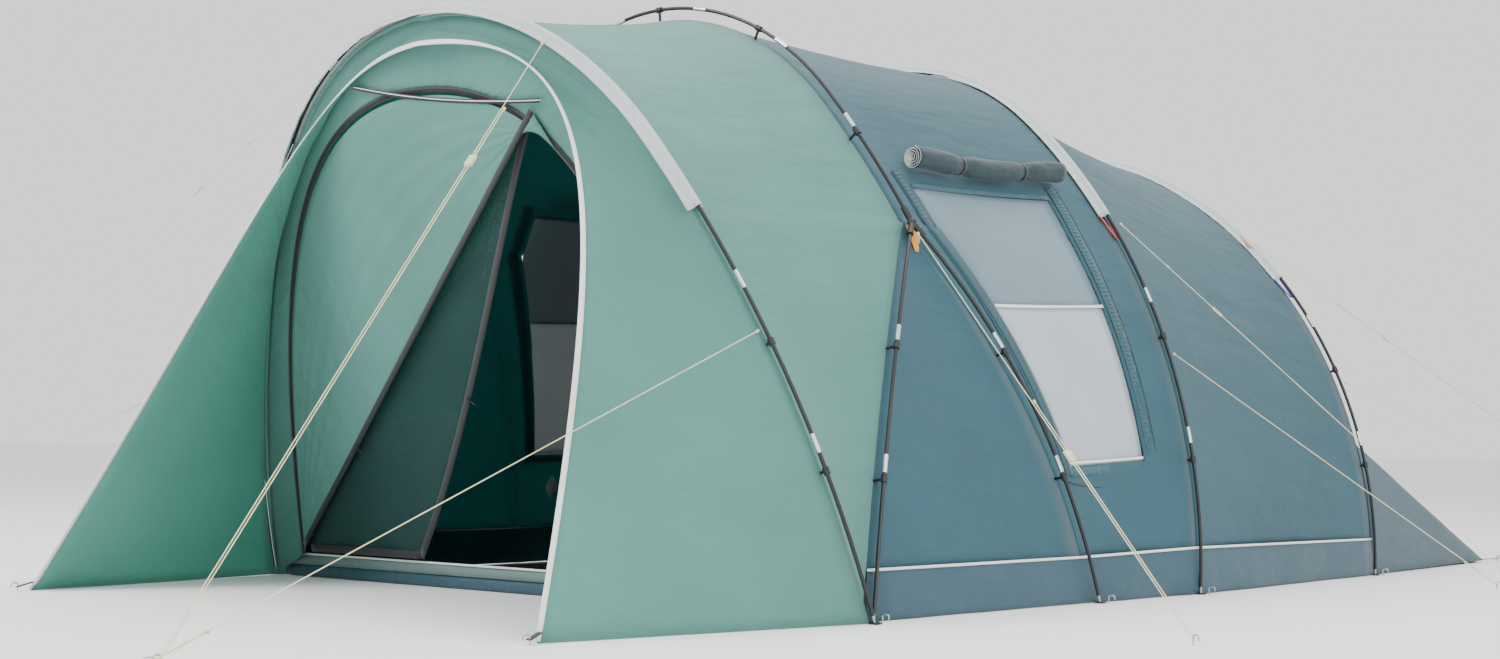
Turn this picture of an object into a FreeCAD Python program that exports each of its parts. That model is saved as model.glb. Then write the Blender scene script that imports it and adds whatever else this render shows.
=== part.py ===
"""Four-hoop tunnel tent on jointed poles, as a parametric FreeCAD document.

X runs across the tent, +Y from the porch to the rear, +Z up from the ground.
The origin is on the ground, half way between the front and the rear corner pegs.
All sizes are millimetres and degrees, and live in the "sizes" sheet.
"""
import FreeCAD, Part
import math
import os
from FreeCAD import Placement, Rotation, Vector

SIZES = {
    # stations along the tent, measured at the ground from the front hoop
    "front_peg_reach": 1160, "third_station": 1900, "rear_station": 3480, "rear_peg_reach": 4910,
    "front_peg_half": 1280, "rear_peg_half": 1270,
    # front hoop: leans out over the porch
    "front_half": 1500, "front_height": 2023, "front_lean": 15.13, "front_toe": 7.2, "front_side": 3570,
    # third and rear hoops
    "third_half": 1488, "third_height": 2073, "third_lean": -2, "third_toe": -1, "third_side": 2368,
    "rear_half": 1390, "rear_height": 1831, "rear_lean": 0, "rear_toe": -1.8, "rear_side": 1873,
    # second hoop: an arch on two hubs, with two legs each
    "hub_half": 1113, "hub_back": 664, "hub_height": 1276, "arch_height": 843, "arch_lean": 5.7,
    "arch_toe": 30.5, "arch_side": 3600, "leg_front_half": 1470, "leg_front_back": 30,
    "leg_rear_half": 1480, "leg_rear_back": 1250, "leg_bow": 60, "leg_splay": 95,
    # poles
    "pole_diameter": 13, "pole_bore": 10.2, "ferrule_diameter": 16, "ferrule_length": 60,
    "shock_cord_diameter": 3, "pole_end": 26, "slip_clearance": 0.1,
    # cloth
    "cloth": 3, "fly_gap": 22, "mid_gap": 42, "flap_share": 0.06, "sleeve_width": 52, "sleeve_depth": 24,
    "sleeve_bore": 17, "front_sleeve_share": 0.5, "third_sleeve_share": 0.465, "rear_sleeve_share": 0.455,
    "seam_gap": 3.5, "floor_thick": 4, "wall_clearance": 18,
    # inner tent and floors
    "inner_gap": 110, "inner_lead": 40, "inner_tail": 90, "inner_door_half": 450, "inner_door_top": 1300,
    "inner_door_low": 80, "floor_margin": 90, "floor_front": 60, "floor_rear": 40, "inner_margin": 120,
    "inner_front_gap": 20, "inner_rear_gap": 80,
    # the porch's free edge
    "visor_depth": 123, "visor_lead": 55, "trim_flank_half": 866, "trim_flank_back": -469,
    "trim_shoulder_half": 699, "trim_shoulder_back": -434, "binding_diameter": 12, "piping_diameter": 6,
    # windows and doors
    "window_low": 0.18, "window_high": 0.57, "window_mid": 0.395, "window_near": 0.17, "window_far": 0.75,
    "pane_thick": 1.5, "roll_diameter": 90, "tie_width": 18, "sill_height": 90, "sill_drop": 8,
    "door_left": -1270, "door_right": 860, "door_top": 1700, "mesh_thick": 1.5,
    "skirt_rise": 550, "skirt_tuck": 20, "skirt_short": 40,
    # hubs, clips, pins and eyelets
    "hub_socket_diameter": 22, "hub_socket_length": 62, "hub_core": 16, "hub_start": 24, "clip_length": 24,
    "clip_wall": 4, "pin_diameter": 8, "eyelet_length": 34, "eyelet_hole": 12.4,
    # cords and pegs
    "guy_diameter": 3, "peg_hook": 7, "peg_wire": 5, "peg_stub": 30, "runner_length": 44,
    "runner_width": 24, "runner_thick": 9, "runner_hole": 4.2, "runner_tail": 260,
}

doc = FreeCAD.newDocument("tunnel_tent")
sheet = doc.addObject("Spreadsheet::Sheet", "sizes")
for row, (alias, value) in enumerate(SIZES.items(), start=1):
    sheet.set("A%d" % row, alias)
    sheet.set("B%d" % row, str(value))
    sheet.setAlias("B%d" % row, alias)
doc.recompute()


def size(alias):
    """One size of the sheet, as a plain number."""
    return float(getattr(sheet, alias))


UP = Vector(0, 0, 1)
SIDES = (1, -1)
cloth = size("cloth")
origin_shift = (size("rear_peg_reach") - size("front_peg_reach")) / 2
parts = []


def at(x, back, z):
    """A point from its distance behind the front hoop's feet."""
    return Vector(x, back - origin_shift, z)


def mirrored(shape):
    return shape.mirror(Vector(0, 0, 0), Vector(1, 0, 0))


def both_sides(shapes):
    return list(shapes) + [mirrored(shape) for shape in shapes]


def feature(label, solids, placement=Placement()):
    """A sub-part whose solids are worked out in code from the sheet."""
    item = doc.addObject("Part::Feature", label)
    item.Label = label
    item.Shape = solids[0] if len(solids) == 1 else Part.makeCompound(solids)
    item.Placement = placement
    parts.append(item)
    return item


# ---------------------------------------------------------------- hoop shapes
class Hoop:
    """Half-width, height, inward toe and side radius give a hoop of three arcs in its own plane."""

    def __init__(self, half, height, toe, side, base, lean):
        self.base, self.lean = base, math.radians(lean)
        toe = math.radians(toe)
        side_x, side_z = half - side * math.cos(toe), -side * math.sin(toe)
        crown = (side ** 2 - side_x ** 2 - (side_z - height) ** 2) / (2 * (side_z - height + side))
        meet = math.atan2(height - crown - side_z, -side_x)
        self.arcs = [(side_x, side_z, side, toe, meet), (0, height - crown, crown, meet, math.pi - meet),
                     (-side_x, side_z, side, math.pi - meet, math.pi - toe)]
        self.length = sum(radius * (end - start) for _, _, radius, start, end in self.arcs)

    def point(self, run, inset=0.0):
        """The point a run along the hoop from its right foot, set in towards the inside."""
        for number, (centre_x, centre_z, radius, start, end) in enumerate(self.arcs):
            span = radius * (end - start)
            if run <= span or number == 2:
                angle, reach = start + run / radius, radius - inset
                flat_z = max(centre_z + reach * math.sin(angle), 0.0)
                return self.place(centre_x + reach * math.cos(angle), flat_z)
            run -= span

    def place(self, x, z):
        return self.base + Vector(x, -z * math.sin(self.lean), z * math.cos(self.lean))

    def normal(self):
        return Vector(0, math.cos(self.lean), math.sin(self.lean))

    def direction(self, run):
        return (self.point(run + 1) - self.point(run - 1)).normalize()

    def spans(self, begin, finish):
        """Centre, start point and angle of each arc between two runs."""
        done = 0.0
        for centre_x, centre_z, radius, start, end in self.arcs:
            span = radius * (end - start)
            low, high = max(begin - done, 0.0), min(finish - done, span)
            if high - low > 0.01:
                yield self.place(centre_x, centre_z), self.point(done + low + 1e-6), (high - low) / radius
            done += span

    def tube(self, begin, finish, outer, inner):
        pieces = [swept(centre, self.normal() * -1, start, angle, ring(outer, inner))
                  for centre, start, angle in self.spans(begin, finish)]
        return joined(pieces)


def ring(outer, inner):
    """A round section, hollow where the inner diameter isn't nought, in its own XY plane."""
    face = Part.Face(Part.Wire(Part.makeCircle(outer / 2)))
    return face.cut(Part.Face(Part.Wire(Part.makeCircle(inner / 2)))) if inner else face


def box_ring(across, deep, inner):
    """A flat sleeve's section: across is along the tent, deep is towards the hoop's centre."""
    corners = [Vector(-deep / 2, -across / 2, 0), Vector(deep / 2, -across / 2, 0),
               Vector(deep / 2, across / 2, 0), Vector(-deep / 2, across / 2, 0)]
    face = Part.Face(Part.makePolygon(corners + corners[:1]))
    return face.cut(Part.Face(Part.Wire(Part.makeCircle(inner / 2))))


def swept(centre, axis, start, angle, section):
    """A section turned about a centre: its own Z is along the path and its X away from the centre."""
    radial = (start - centre).normalize()
    tangent = axis.cross(radial).normalize()
    turn = Rotation(radial, axis, tangent, "ZXY")
    section = section.copy()
    section.Placement = Placement(start, turn)
    return section.revolve(centre, axis, math.degrees(angle))


def joined(pieces):
    shape = pieces[0]
    for piece in pieces[1:]:
        shape = shape.fuse(piece)
    return shape.removeSplitter().Solids[0] if len(pieces) > 1 else shape.Solids[0]


def leg_arc(foot, hub, splay):
    """Centre, axis, angle and radius of a leg that bows outwards, and along the tent, up to its hub."""
    bow = Vector(size("leg_bow"), splay, 0)
    arc = Part.Arc(foot, (foot + hub) * 0.5 + bow, hub).toShape()
    return arc.Curve.Center, arc.Curve.Axis, arc.LastParameter - arc.FirstParameter, arc.Curve.Radius


def turned(point, centre, axis, angle):
    return centre + Rotation(axis, math.degrees(angle)).multVec(point - centre)


front = Hoop(size("front_half"), size("front_height"), size("front_toe"), size("front_side"),
             at(0, 0, 0), size("front_lean"))
third = Hoop(size("third_half"), size("third_height"), size("third_toe"), size("third_side"),
             at(0, size("third_station"), 0), size("third_lean"))
rear = Hoop(size("rear_half"), size("rear_height"), size("rear_toe"), size("rear_side"),
            at(0, size("rear_station"), 0), size("rear_lean"))
arch = Hoop(size("hub_half"), size("arch_height"), size("arch_toe"), size("arch_side"),
            at(0, size("hub_back"), size("hub_height")), size("arch_lean"))
hub_point = at(size("hub_half"), size("hub_back"), size("hub_height"))
leg_feet = [at(size("leg_front_half"), size("leg_front_back"), 0),
            at(size("leg_rear_half"), size("leg_rear_back"), 0)]

pole, bore = size("pole_diameter"), size("pole_bore")
ferrule, ferrule_length = size("ferrule_diameter"), size("ferrule_length")
pole_end, slip = size("pole_end"), size("slip_clearance")
HOOPS = {"front": front, "third": third, "rear": rear}
HOOP_SECTIONS = {"front": 10, "third": 10, "rear": 9, "arch": 7}
LEG_SECTIONS = 3
hub_start = size("hub_start")
CORD_RECESS = 4.0

ferrules, shock_cords, foot_pins = [], [], []


def joints(begin, finish, count):
    """Where equal pole sections end, both ends included."""
    return [begin + (finish - begin) * index / count for index in range(count + 1)]


def jointed_hoop(hoop, count, begin, finish):
    """The hoop's tube sections, with a ferrule over each joint and one shock cord inside."""
    cuts = joints(begin, finish, count)
    for cut in cuts[1:-1]:
        ferrules.append(hoop.tube(cut - ferrule_length / 2, cut + ferrule_length / 2, ferrule, pole + slip))
    shock_cords.append(hoop.tube(begin + CORD_RECESS, finish - CORD_RECESS, size("shock_cord_diameter"), 0))
    return [hoop.tube(low, high, pole, bore) for low, high in zip(cuts, cuts[1:])]


def foot_pin(point, along):
    """The steel pin in a pole's end, down to its eyelet on the ground."""
    length = pole_end - CORD_RECESS
    pin = Part.makeCylinder(size("pin_diameter") / 2, length, point - along * length, along)
    plug = Part.makeCylinder(bore / 2 - 2 * slip, CORD_RECESS - slip, point, along)
    return pin.fuse(plug).removeSplitter()


for name, hoop in HOOPS.items():
    finish = hoop.length - pole_end
    feature(name + "_pole_sections", jointed_hoop(hoop, HOOP_SECTIONS[name], pole_end, finish))
    for run, sense in ((pole_end, 1), (finish, -1)):
        foot_pins.append(foot_pin(hoop.point(run), hoop.direction(run) * sense))


class Leg:
    """One bowed leg of the second hoop, from its foot up to the hub."""

    def __init__(self, foot, splay):
        self.foot = foot
        self.centre, self.axis, self.sweep, self.radius = leg_arc(foot, hub_point, splay)
        self.begin, self.finish = pole_end / self.radius, self.sweep - hub_start / self.radius

    def point(self, angle):
        return turned(self.foot, self.centre, self.axis, angle)

    def direction(self, angle):
        return self.axis.cross(self.point(angle) - self.centre).normalize()

    def tube(self, begin, finish, outer, inner):
        return swept(self.centre, self.axis, self.point(begin), finish - begin, ring(outer, inner)).Solids[0]


legs = [Leg(foot, splay) for foot, splay in zip(leg_feet, (-size("leg_splay"), size("leg_splay")))]
mid_sections = jointed_hoop(arch, HOOP_SECTIONS["arch"], hub_start, arch.length - hub_start)
for leg in legs:
    cuts = joints(leg.begin, leg.finish, LEG_SECTIONS)
    half_ferrule, recess = ferrule_length / 2 / leg.radius, CORD_RECESS / leg.radius
    mid_sections += both_sides([leg.tube(low, high, pole, bore) for low, high in zip(cuts, cuts[1:])])
    ferrules += both_sides([leg.tube(cut - half_ferrule, cut + half_ferrule, ferrule, pole + slip)
                            for cut in cuts[1:-1]])
    shock_cords += both_sides([leg.tube(leg.begin + recess, leg.finish - recess,
                                        size("shock_cord_diameter"), 0)])
    foot_pins += both_sides([foot_pin(leg.point(leg.begin), leg.direction(leg.begin))])
feature("mid_pole_sections", mid_sections)
feature("pole_ferrules", ferrules)
feature("shock_cords", shock_cords)
feature("pole_foot_pins", foot_pins)

# hubs: three sockets on a round core
SOCKET_CLEARANCE = 0.6
SOCKET_FLOOR_GAP = 0.5
socket_length = size("hub_socket_length")
arms = [arch.direction(hub_start)]
for leg in legs:
    arms.append((leg.point(leg.finish) - hub_point).normalize())
hub = Part.makeSphere(size("hub_core"), hub_point)
for arm in arms:
    hub = hub.fuse(Part.makeCylinder(size("hub_socket_diameter") / 2, socket_length, hub_point, arm))
for arm in arms:
    floor = hub_point + arm * (hub_start - SOCKET_FLOOR_GAP)
    hub = hub.cut(Part.makeCylinder(pole / 2 + SOCKET_CLEARANCE, socket_length, floor, arm))
feature("pole_hubs", both_sides(hub.Solids))

# ---------------------------------------------------------------- cloth lines
class Line:
    """A line of the cloth from the right foot (share 0) to the ridge (share 1)."""

    def __init__(self, finder):
        self.finder = finder

    def point(self, share, side=1):
        spot = self.finder(share)
        return Vector(side * spot.x, spot.y, spot.z)


def hoop_line(hoop, inset):
    return Line(lambda share: hoop.point(share * hoop.length / 2, inset))


HUB_SHARE = 0.5


def mid_line(leg, shift, inset):
    """The cloth under the second hoop: up one leg to the hub, then under the arch."""
    def finder(share):
        if share < HUB_SHARE:
            return leg.point(leg.sweep * share / HUB_SHARE) - Vector(inset, 0, 0)
        run = (share - HUB_SHARE) / (1 - HUB_SHARE) * arch.length / 2
        return arch.point(run, inset) + Vector(0, shift, 0)
    return Line(finder)


def bezier_line(first, second, last_but_one, last):
    def finder(share):
        rest = 1 - share
        return (first * rest ** 3 + second * (3 * share * rest ** 2)
                + last_but_one * (3 * share ** 2 * rest) + last * share ** 3)
    return Line(finder)


fly_gap, mid_gap = size("fly_gap"), size("mid_gap")
front_line = hoop_line(front, fly_gap)
HUB_STRIP = 10.0
near_line = mid_line(legs[0], -HUB_STRIP, mid_gap)
far_line = mid_line(legs[1], HUB_STRIP, mid_gap)
third_line, rear_line = hoop_line(third, fly_gap), hoop_line(rear, fly_gap)
trim_top = size("front_height") * math.cos(front.lean) - size("visor_depth")
trim_back = -trim_top * math.tan(front.lean) - size("visor_lead")
TRIM_FLANK_RISE = 0.771
trim_line = bezier_line(at(size("front_peg_half"), -size("front_peg_reach"), 0),
                        at(size("trim_flank_half"), size("trim_flank_back"), TRIM_FLANK_RISE * trim_top),
                        at(size("trim_shoulder_half"), size("trim_shoulder_back"), trim_top),
                        at(0, trim_back, trim_top))


def inward(first, second, share, side):
    """The way in through the cloth, square to the line and to the panel's own run from front to back."""
    if share >= 1:
        along = Vector(-side, 0, 0)
    else:
        low, high = max(share - 0.01, 0.0), min(share + 0.01, 1.0)
        along = first.point(high, side) - first.point(low, side)
    across = second.point(share, side) - first.point(share, side)
    return (across.cross(along) * -side).normalize()


def corner(first, second, share, way, side, thick):
    """The outer and inner corners of a panel at a share of its height and of its way back."""
    near, far = first.point(share, side), second.point(share, side)
    seam = (far - near).normalize() * size("seam_gap")
    outer = (near + seam) * (1 - way) + (far - seam) * way
    inner = outer + inward(first, second, share, side) * thick
    return outer, Vector(inner.x, inner.y, max(inner.z, 0.0))


def triangle(one, two, three):
    """A flat facet."""
    return Part.Face(Part.makePolygon([one, two, three, one]))


def wedge(corners):
    """A triangle of cloth as a closed solid; corners are (outer, inner) pairs, low and near ones first."""
    outer, inner = zip(*corners)
    faces = [triangle(*outer), triangle(*inner)]
    for low, high in ((0, 1), (0, 2), (1, 2)):
        faces += [triangle(outer[low], outer[high], inner[high]),
                  triangle(outer[low], inner[high], inner[low])]
    shell = Part.makeShell(faces)
    shell.sewShape()
    solid = Part.makeSolid(shell)
    return solid if solid.Volume > 0 else solid.reversed()


def patch(first, second, shares, ways, side, thick):
    """One patch of cloth between two lines: two wedges that meet along its diagonal."""
    low_near, low_far, high_near, high_far = [corner(first, second, share, way, side, thick)
                                              for share in shares for way in ways]
    return [wedge((low_near, low_far, high_far)), wedge((low_near, high_near, high_far))]


def panel(first, second, shares, ways=(0.0, 1.0), sides=SIDES, skip=None, thick=cloth):
    """All the patches of a panel, without those that skip() leaves out."""
    cells = []
    for side in sides:
        for low, high in zip(shares, shares[1:]):
            for near, far in zip(ways, ways[1:]):
                if not (skip and skip(low, near)):
                    cells += patch(first, second, (low, high), (near, far), side, thick)
    return cells


flap = size("flap_share")
window_low, window_high, window_mid = size("window_low"), size("window_high"), size("window_mid")
LEG_STEP, ROOF_STEPS = 0.29, (0.66, 0.75, 0.833, 0.917, 1.0)
leg_shares = [0.0, flap, window_low, LEG_STEP, window_mid, HUB_SHARE]
roof_shares = [HUB_SHARE, window_high, *ROOF_STEPS]
all_shares = leg_shares + roof_shares[1:]
above_flap = all_shares[1:]
window_ways = (0.0, size("window_near"), size("window_far"), 1.0)


def in_window(low, near):
    return window_low <= low < window_high and near == size("window_near")


feature("front_fly", panel(front_line, near_line, all_shares))
mid_cells = panel(near_line, far_line, above_flap) + panel(far_line, third_line, above_flap, window_ways,
                                                           skip=in_window)
feature("mid_fly", mid_cells)
feature("rear_fly", panel(third_line, rear_line, above_flap))
feature("mud_flaps", panel(near_line, far_line, [0.0, flap]) + panel(far_line, third_line, [0.0, flap])
        + panel(third_line, rear_line, [0.0, flap]))
PANE_CLEARANCE = 0.002
pane_shares = [share for share in all_shares if window_low <= share <= window_high]
pane_shares[0], pane_shares[-1] = pane_shares[0] + PANE_CLEARANCE, pane_shares[-1] - PANE_CLEARANCE
pane_ways = (window_ways[1] + PANE_CLEARANCE, window_ways[2] - PANE_CLEARANCE)
feature("window_panes", panel(far_line, third_line, pane_shares, pane_ways, thick=size("pane_thick")))
HOOD_SHARES = [0.0, 0.15, 0.3, 0.45, 0.6, 0.72, 0.84, 0.92, 1.0]
feature("porch_hood", panel(trim_line, front_line, HOOD_SHARES))

# ---------------------------------------------------------------- end walls
def hoop_outline(hoop, inset, low_z, count=24):
    """Points of a hoop's inside, from its right foot round to its left, above a height."""
    spots = [hoop.point(hoop.length * index / count, inset) for index in range(count + 1)]
    return [spot for spot in spots if spot.z >= low_z]


def wall(outline, hole, normal, thick):
    face = Part.Face(Part.makePolygon(outline + outline[:1]))
    if hole:
        face = face.cut(Part.Face(Part.makePolygon(hole + hole[:1])))
    return face.extrude(normal * thick)


def on_front(x, z, off=0.0):
    """A point of the front wall's plane from its place across and its height."""
    return Vector(x, -z * math.tan(front.lean) - origin_shift + off, z)


WALL_SET_BACK, REAR_CLEARANCE, REAR_STEPS = 6.0, 3.0, 28
sill = size("sill_height")
door_left, door_top = size("door_left"), size("door_top")
door_width, door_rise = size("door_right") - door_left, door_top - sill
# outlines in the doorway's own frame: across from its left edge, up from its sill
DOORWAY = ((0, 0), (0.0563, 0.3789), (0.1221, 0.6335), (0.2207, 0.8447), (0.3521, 0.9689), (0.5023, 1.0),
           (0.6901, 0.9845), (0.8216, 0.9317), (0.9249, 0.8137), (0.9812, 0.5652), (1.0, 0.2547), (1.0, 0))
OUTER_DOOR = ((0.0141, 0.0124), (0.0657, 0.3727), (0.1291, 0.6211), (0.2254, 0.8323), (0.3545, 0.9565),
              (0.5023, 0.9876), (0.6901, 0.9720), (0.7981, 0.9317))
MESH_DOOR = ((0.0164, 0.0087), (0.0681, 0.3727), (0.1315, 0.6180), (0.2277, 0.8292), (0.3559, 0.9534),
             (0.5023, 0.9845), (0.6901, 0.9689), (0.7840, 0.9255), (0.7324, 0.7609), (0.5892, 0.5323),
             (0.4897, 0.2975), (0.3404, 0.0087))


def in_doorway(across, up, off=0.0):
    """A point of the doorway's own frame, set back from the wall's plane."""
    return on_front(door_left + across * door_width, sill + up * door_rise, off)


door_hole = [in_doorway(across, up, WALL_SET_BACK) for across, up in reversed(DOORWAY)]
front_outline = [spot + Vector(0, WALL_SET_BACK, 0)
                 for spot in hoop_outline(front, fly_gap + cloth + size("wall_clearance"), 0.0)]
feature("front_wall", wall(front_outline, door_hole, front.normal(), cloth).Solids)

rear_outline = hoop_outline(rear, fly_gap + cloth + REAR_CLEARANCE, 0.0, REAR_STEPS)
rear_top = [spot for spot in rear_outline if spot.z >= size("skirt_rise")]
feature("rear_wall", wall(rear_top, None, rear.normal(), cloth).Solids)

# the skirt slopes from the rear wall's foot to the two rear corners
SKIRT_BEHIND, SKIRT_BELOW, SKIRT_STRIPS = 8.0, 6.0, 4
GUSSET_BEHIND, GUSSET_BELOW, GUSSET_SHORT, HEM_THICK = 12.0, 12.0, 30.0, 4.5
corner_half = size("rear_peg_half") - size("skirt_tuck")
corner_back = size("rear_peg_reach") - size("skirt_short")
shoulder = rear_top[0]
top_right = shoulder + Vector(0, SKIRT_BEHIND, -SKIRT_BELOW)
top_left = Vector(-top_right.x, top_right.y, top_right.z)
corner_right, corner_left = (at(side * corner_half, corner_back, SKIRT_BEHIND) for side in SIDES)
skirt = []
for index in range(SKIRT_STRIPS):
    ends = []
    for share in (index / SKIRT_STRIPS, (index + 1) / SKIRT_STRIPS):
        high = top_left * (1 - share) + top_right * share
        low = corner_left * (1 - share) + corner_right * share
        ends.append([high, low, low - UP * cloth, high - UP * cloth])
    skirt.append(Part.makeLoft([Part.makePolygon(face + face[:1]) for face in ends], True, True))
gusset_y = shoulder.y + GUSSET_BEHIND
gusset_face = [Vector(shoulder.x, gusset_y, shoulder.z - GUSSET_BELOW - cloth),
               Vector(rear_outline[0].x, gusset_y, 0), at(corner_half, corner_back - GUSSET_SHORT, 0)]
gusset = Part.Face(Part.makePolygon(gusset_face + gusset_face[:1])).extrude(Vector(-cloth, 0, 0))
hem = Part.makeBox(2 * corner_half - 4 * cloth, cloth, HEM_THICK,
                   Vector(2 * cloth - corner_half, corner_right.y - 2 * cloth, 0))
feature("rear_skirt", skirt + both_sides([gusset]) + [hem])

# ---------------------------------------------------------------- doors
OUTER_DOOR_LEAD, MESH_DOOR_BEHIND = -4.0, 22.0
outer_face = [in_doorway(across, up, OUTER_DOOR_LEAD) for across, up in OUTER_DOOR]
feature("outer_door", wall(outer_face, None, front.normal() * -1, cloth).Solids)
mesh_face = [in_doorway(across, up, MESH_DOOR_BEHIND) for across, up in MESH_DOOR]
feature("mesh_door", wall(mesh_face, None, front.normal(), size("mesh_thick")).Solids)


def bound_box(label, sizes, corner_at):
    """A plain block whose sides follow the sheet."""
    item = doc.addObject("Part::Box", label)
    item.Label = label
    for side, expression in zip(("Length", "Width", "Height"), sizes):
        item.setExpression(side, expression)
    item.Placement = Placement(corner_at, Rotation())
    parts.append(item)
    return item


SLIDER_LONG, SLIDER_WIDE, SLIDER_THICK = 14.0, 10.0, 6.0
TAB_WIDE, TAB_LONG, TAB_THICK, SLIDER_CLEARANCE = 5.0, 34.0, 2.0, 2.0
OUTER_SLIDER_RUN, MESH_SLIDER_RUN = 600.0, 120.0
SILL_BACK = 16.0


def slider(label, spot, along):
    """A zip slider with its pull tab, riding on a door's edge."""
    turn = Rotation(along, front.normal().cross(along), front.normal() * -1, "XZY")
    block = Part.makeBox(SLIDER_LONG, SLIDER_WIDE, SLIDER_THICK,
                         Vector(-SLIDER_LONG / 2, -SLIDER_WIDE / 2, 0))
    tab = Part.makeBox(TAB_WIDE, TAB_LONG, TAB_THICK,
                       Vector(-TAB_WIDE / 2, -SLIDER_WIDE / 2 - TAB_LONG, (SLIDER_THICK - TAB_THICK) / 2))
    return feature(label, [block.fuse(tab).removeSplitter()], Placement(spot, turn))


outer_low, outer_high = in_doorway(*OUTER_DOOR[0]), in_doorway(*OUTER_DOOR[-1])
outer_along = (outer_high - outer_low).normalize()
outer_proud = cloth + SLIDER_CLEARANCE - OUTER_DOOR_LEAD
outer_spot = outer_low + outer_along * OUTER_SLIDER_RUN - front.normal() * outer_proud
slider("outer_door_slider", outer_spot, outer_along)
mesh_low, mesh_high = (in_doorway(*MESH_DOOR[index], MESH_DOOR_BEHIND - SLIDER_CLEARANCE)
                       for index in (10, 9))
mesh_along = (mesh_high - mesh_low).normalize()
slider("mesh_door_slider", mesh_low + mesh_along * MESH_SLIDER_RUN, mesh_along)
bound_box("door_sill", ("sizes.door_right - sizes.door_left", "sizes.cloth",
                        "sizes.sill_height - sizes.sill_drop"),
          at(door_left, SILL_BACK, 0))

# ---------------------------------------------------------------- floors and inner tent
floor_thick = size("floor_thick")
bound_box("groundsheet", ("2 * (sizes.rear_half - sizes.floor_margin)",
                          "sizes.third_station - sizes.floor_front - sizes.floor_rear", "sizes.floor_thick"),
          at(size("floor_margin") - size("rear_half"), size("floor_front"), 0))
bound_box("inner_floor", ("2 * (sizes.rear_half - sizes.inner_margin)",
                          "sizes.rear_station - sizes.third_station"
                          " - sizes.inner_front_gap - sizes.inner_rear_gap",
                          "sizes.floor_thick"),
          at(size("inner_margin") - size("rear_half"), size("third_station") + size("inner_front_gap"), 0))

INNER_SHARES = [0.012, 0.15, 0.3, 0.45, 0.6, 0.75, 0.875, 1.0]
INNER_THIRD_EXTRA, REAR_PANEL_BEHIND, FRONT_PANEL_AHEAD = 60.0, 24.0, 60.0
inner_gap = size("inner_gap")


def shifted(line, back):
    """The same line, moved along the tent."""
    return Line(lambda share: line.finder(share) + Vector(0, back, 0))


inner_near = shifted(hoop_line(third, inner_gap + INNER_THIRD_EXTRA), size("inner_lead"))
inner_far = shifted(hoop_line(rear, inner_gap), -size("inner_tail"))


def flat_outline(line, back):
    """A line's points round from right to left, brought into one upright plane."""
    right = [line.point(share) for share in INNER_SHARES]
    spots = right + [Vector(-spot.x, spot.y, spot.z) for spot in reversed(right[:-1])]
    middle = sum(spot.y for spot in spots) / len(spots)
    return [Vector(spot.x, middle + back, max(spot.z, floor_thick)) for spot in spots]


rear_inner = flat_outline(inner_far, REAR_PANEL_BEHIND)
feature("inner_walls", panel(inner_near, inner_far, INNER_SHARES)
        + wall(rear_inner, None, Vector(0, 1, 0), cloth).Solids)
front_inner = flat_outline(inner_near, -FRONT_PANEL_AHEAD)
INNER_SHOULDER, INNER_TOP_HALF = 0.692, 0.667
half, top = size("inner_door_half"), size("inner_door_top")
right_edge = [(half, size("inner_door_low")), (half, INNER_SHOULDER * top), (INNER_TOP_HALF * half, top)]
inner_door = [Vector(x, front_inner[0].y, z) for x, z in right_edge]
inner_door += [Vector(-spot.x, spot.y, spot.z) for spot in reversed(inner_door)]
feature("inner_front", wall(front_inner, inner_door, Vector(0, 1, 0), cloth).Solids)

# ---------------------------------------------------------------- sleeves, clips and trims
SLEEVE_PIECE = 220.0
STRAP_LENGTH, STRAP_RADIUS, STRAP_SPREAD, STRAP_START = 80.0, 3.0, 18.0, 2.0
sleeve_shares = {"front": size("front_sleeve_share"), "third": size("third_sleeve_share"),
                 "rear": size("rear_sleeve_share")}
sleeves, webbing = [], []
for name, hoop in HOOPS.items():
    middle, half = hoop.length / 2, hoop.length / 2 * sleeve_shares[name]
    section = box_ring(size("sleeve_width"), size("sleeve_depth"), size("sleeve_bore"))
    count = math.ceil(2 * half / SLEEVE_PIECE)
    cuts = [middle - half + 2 * half * index / count for index in range(count + 1)]
    for low, high in zip(cuts, cuts[1:]):
        for centre, start, angle in hoop.spans(low, high):
            sleeves += swept(centre, hoop.normal() * -1, start, angle, section).Solids
    if name == "front":
        continue
    for run, sense in ((cuts[0], -1), (cuts[-1], 1)):
        spot, along = hoop.point(run, fly_gap - STRAP_RADIUS), hoop.direction(run) * sense
        for offset in (-STRAP_SPREAD, STRAP_SPREAD):
            lean_in = Vector(0, -offset / (STRAP_LENGTH + 30), 0)
            begin = spot + Vector(0, offset, 0) + along * STRAP_START
            webbing.append(Part.makeCylinder(STRAP_RADIUS, STRAP_LENGTH, begin, along + lean_in))
feature("pole_sleeves", sleeves)
feature("sleeve_webbing", webbing)


CLIP_CLEARANCE = 8.0
CLIP_STEM = 5.0
clip_length = size("clip_length")


def clip_at(spot, along, inside, gap):
    """A plastic clip: a collar round the pole and a stem to the cloth."""
    collar = Part.makeCylinder(pole / 2 + size("clip_wall"), clip_length,
                               spot - along * clip_length / 2, along)
    stem = Part.makeCylinder(CLIP_STEM, gap - 1, spot, inside)
    way = Part.makeCylinder(pole / 2 + slip, clip_length + 2, spot - along * (clip_length / 2 + 1), along)
    return collar.fuse(stem).removeSplitter().cut(way).Solids[0]


def beside_joint(run, cuts, scale=1.0):
    """A clip's place, moved towards the foot where it would meet a ferrule."""
    reach = ((ferrule_length + clip_length) / 2 + CLIP_CLEARANCE) / scale
    nearest = min(cuts, key=lambda cut: abs(cut - run))
    return nearest - reach if abs(run - nearest) < reach else run


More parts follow.
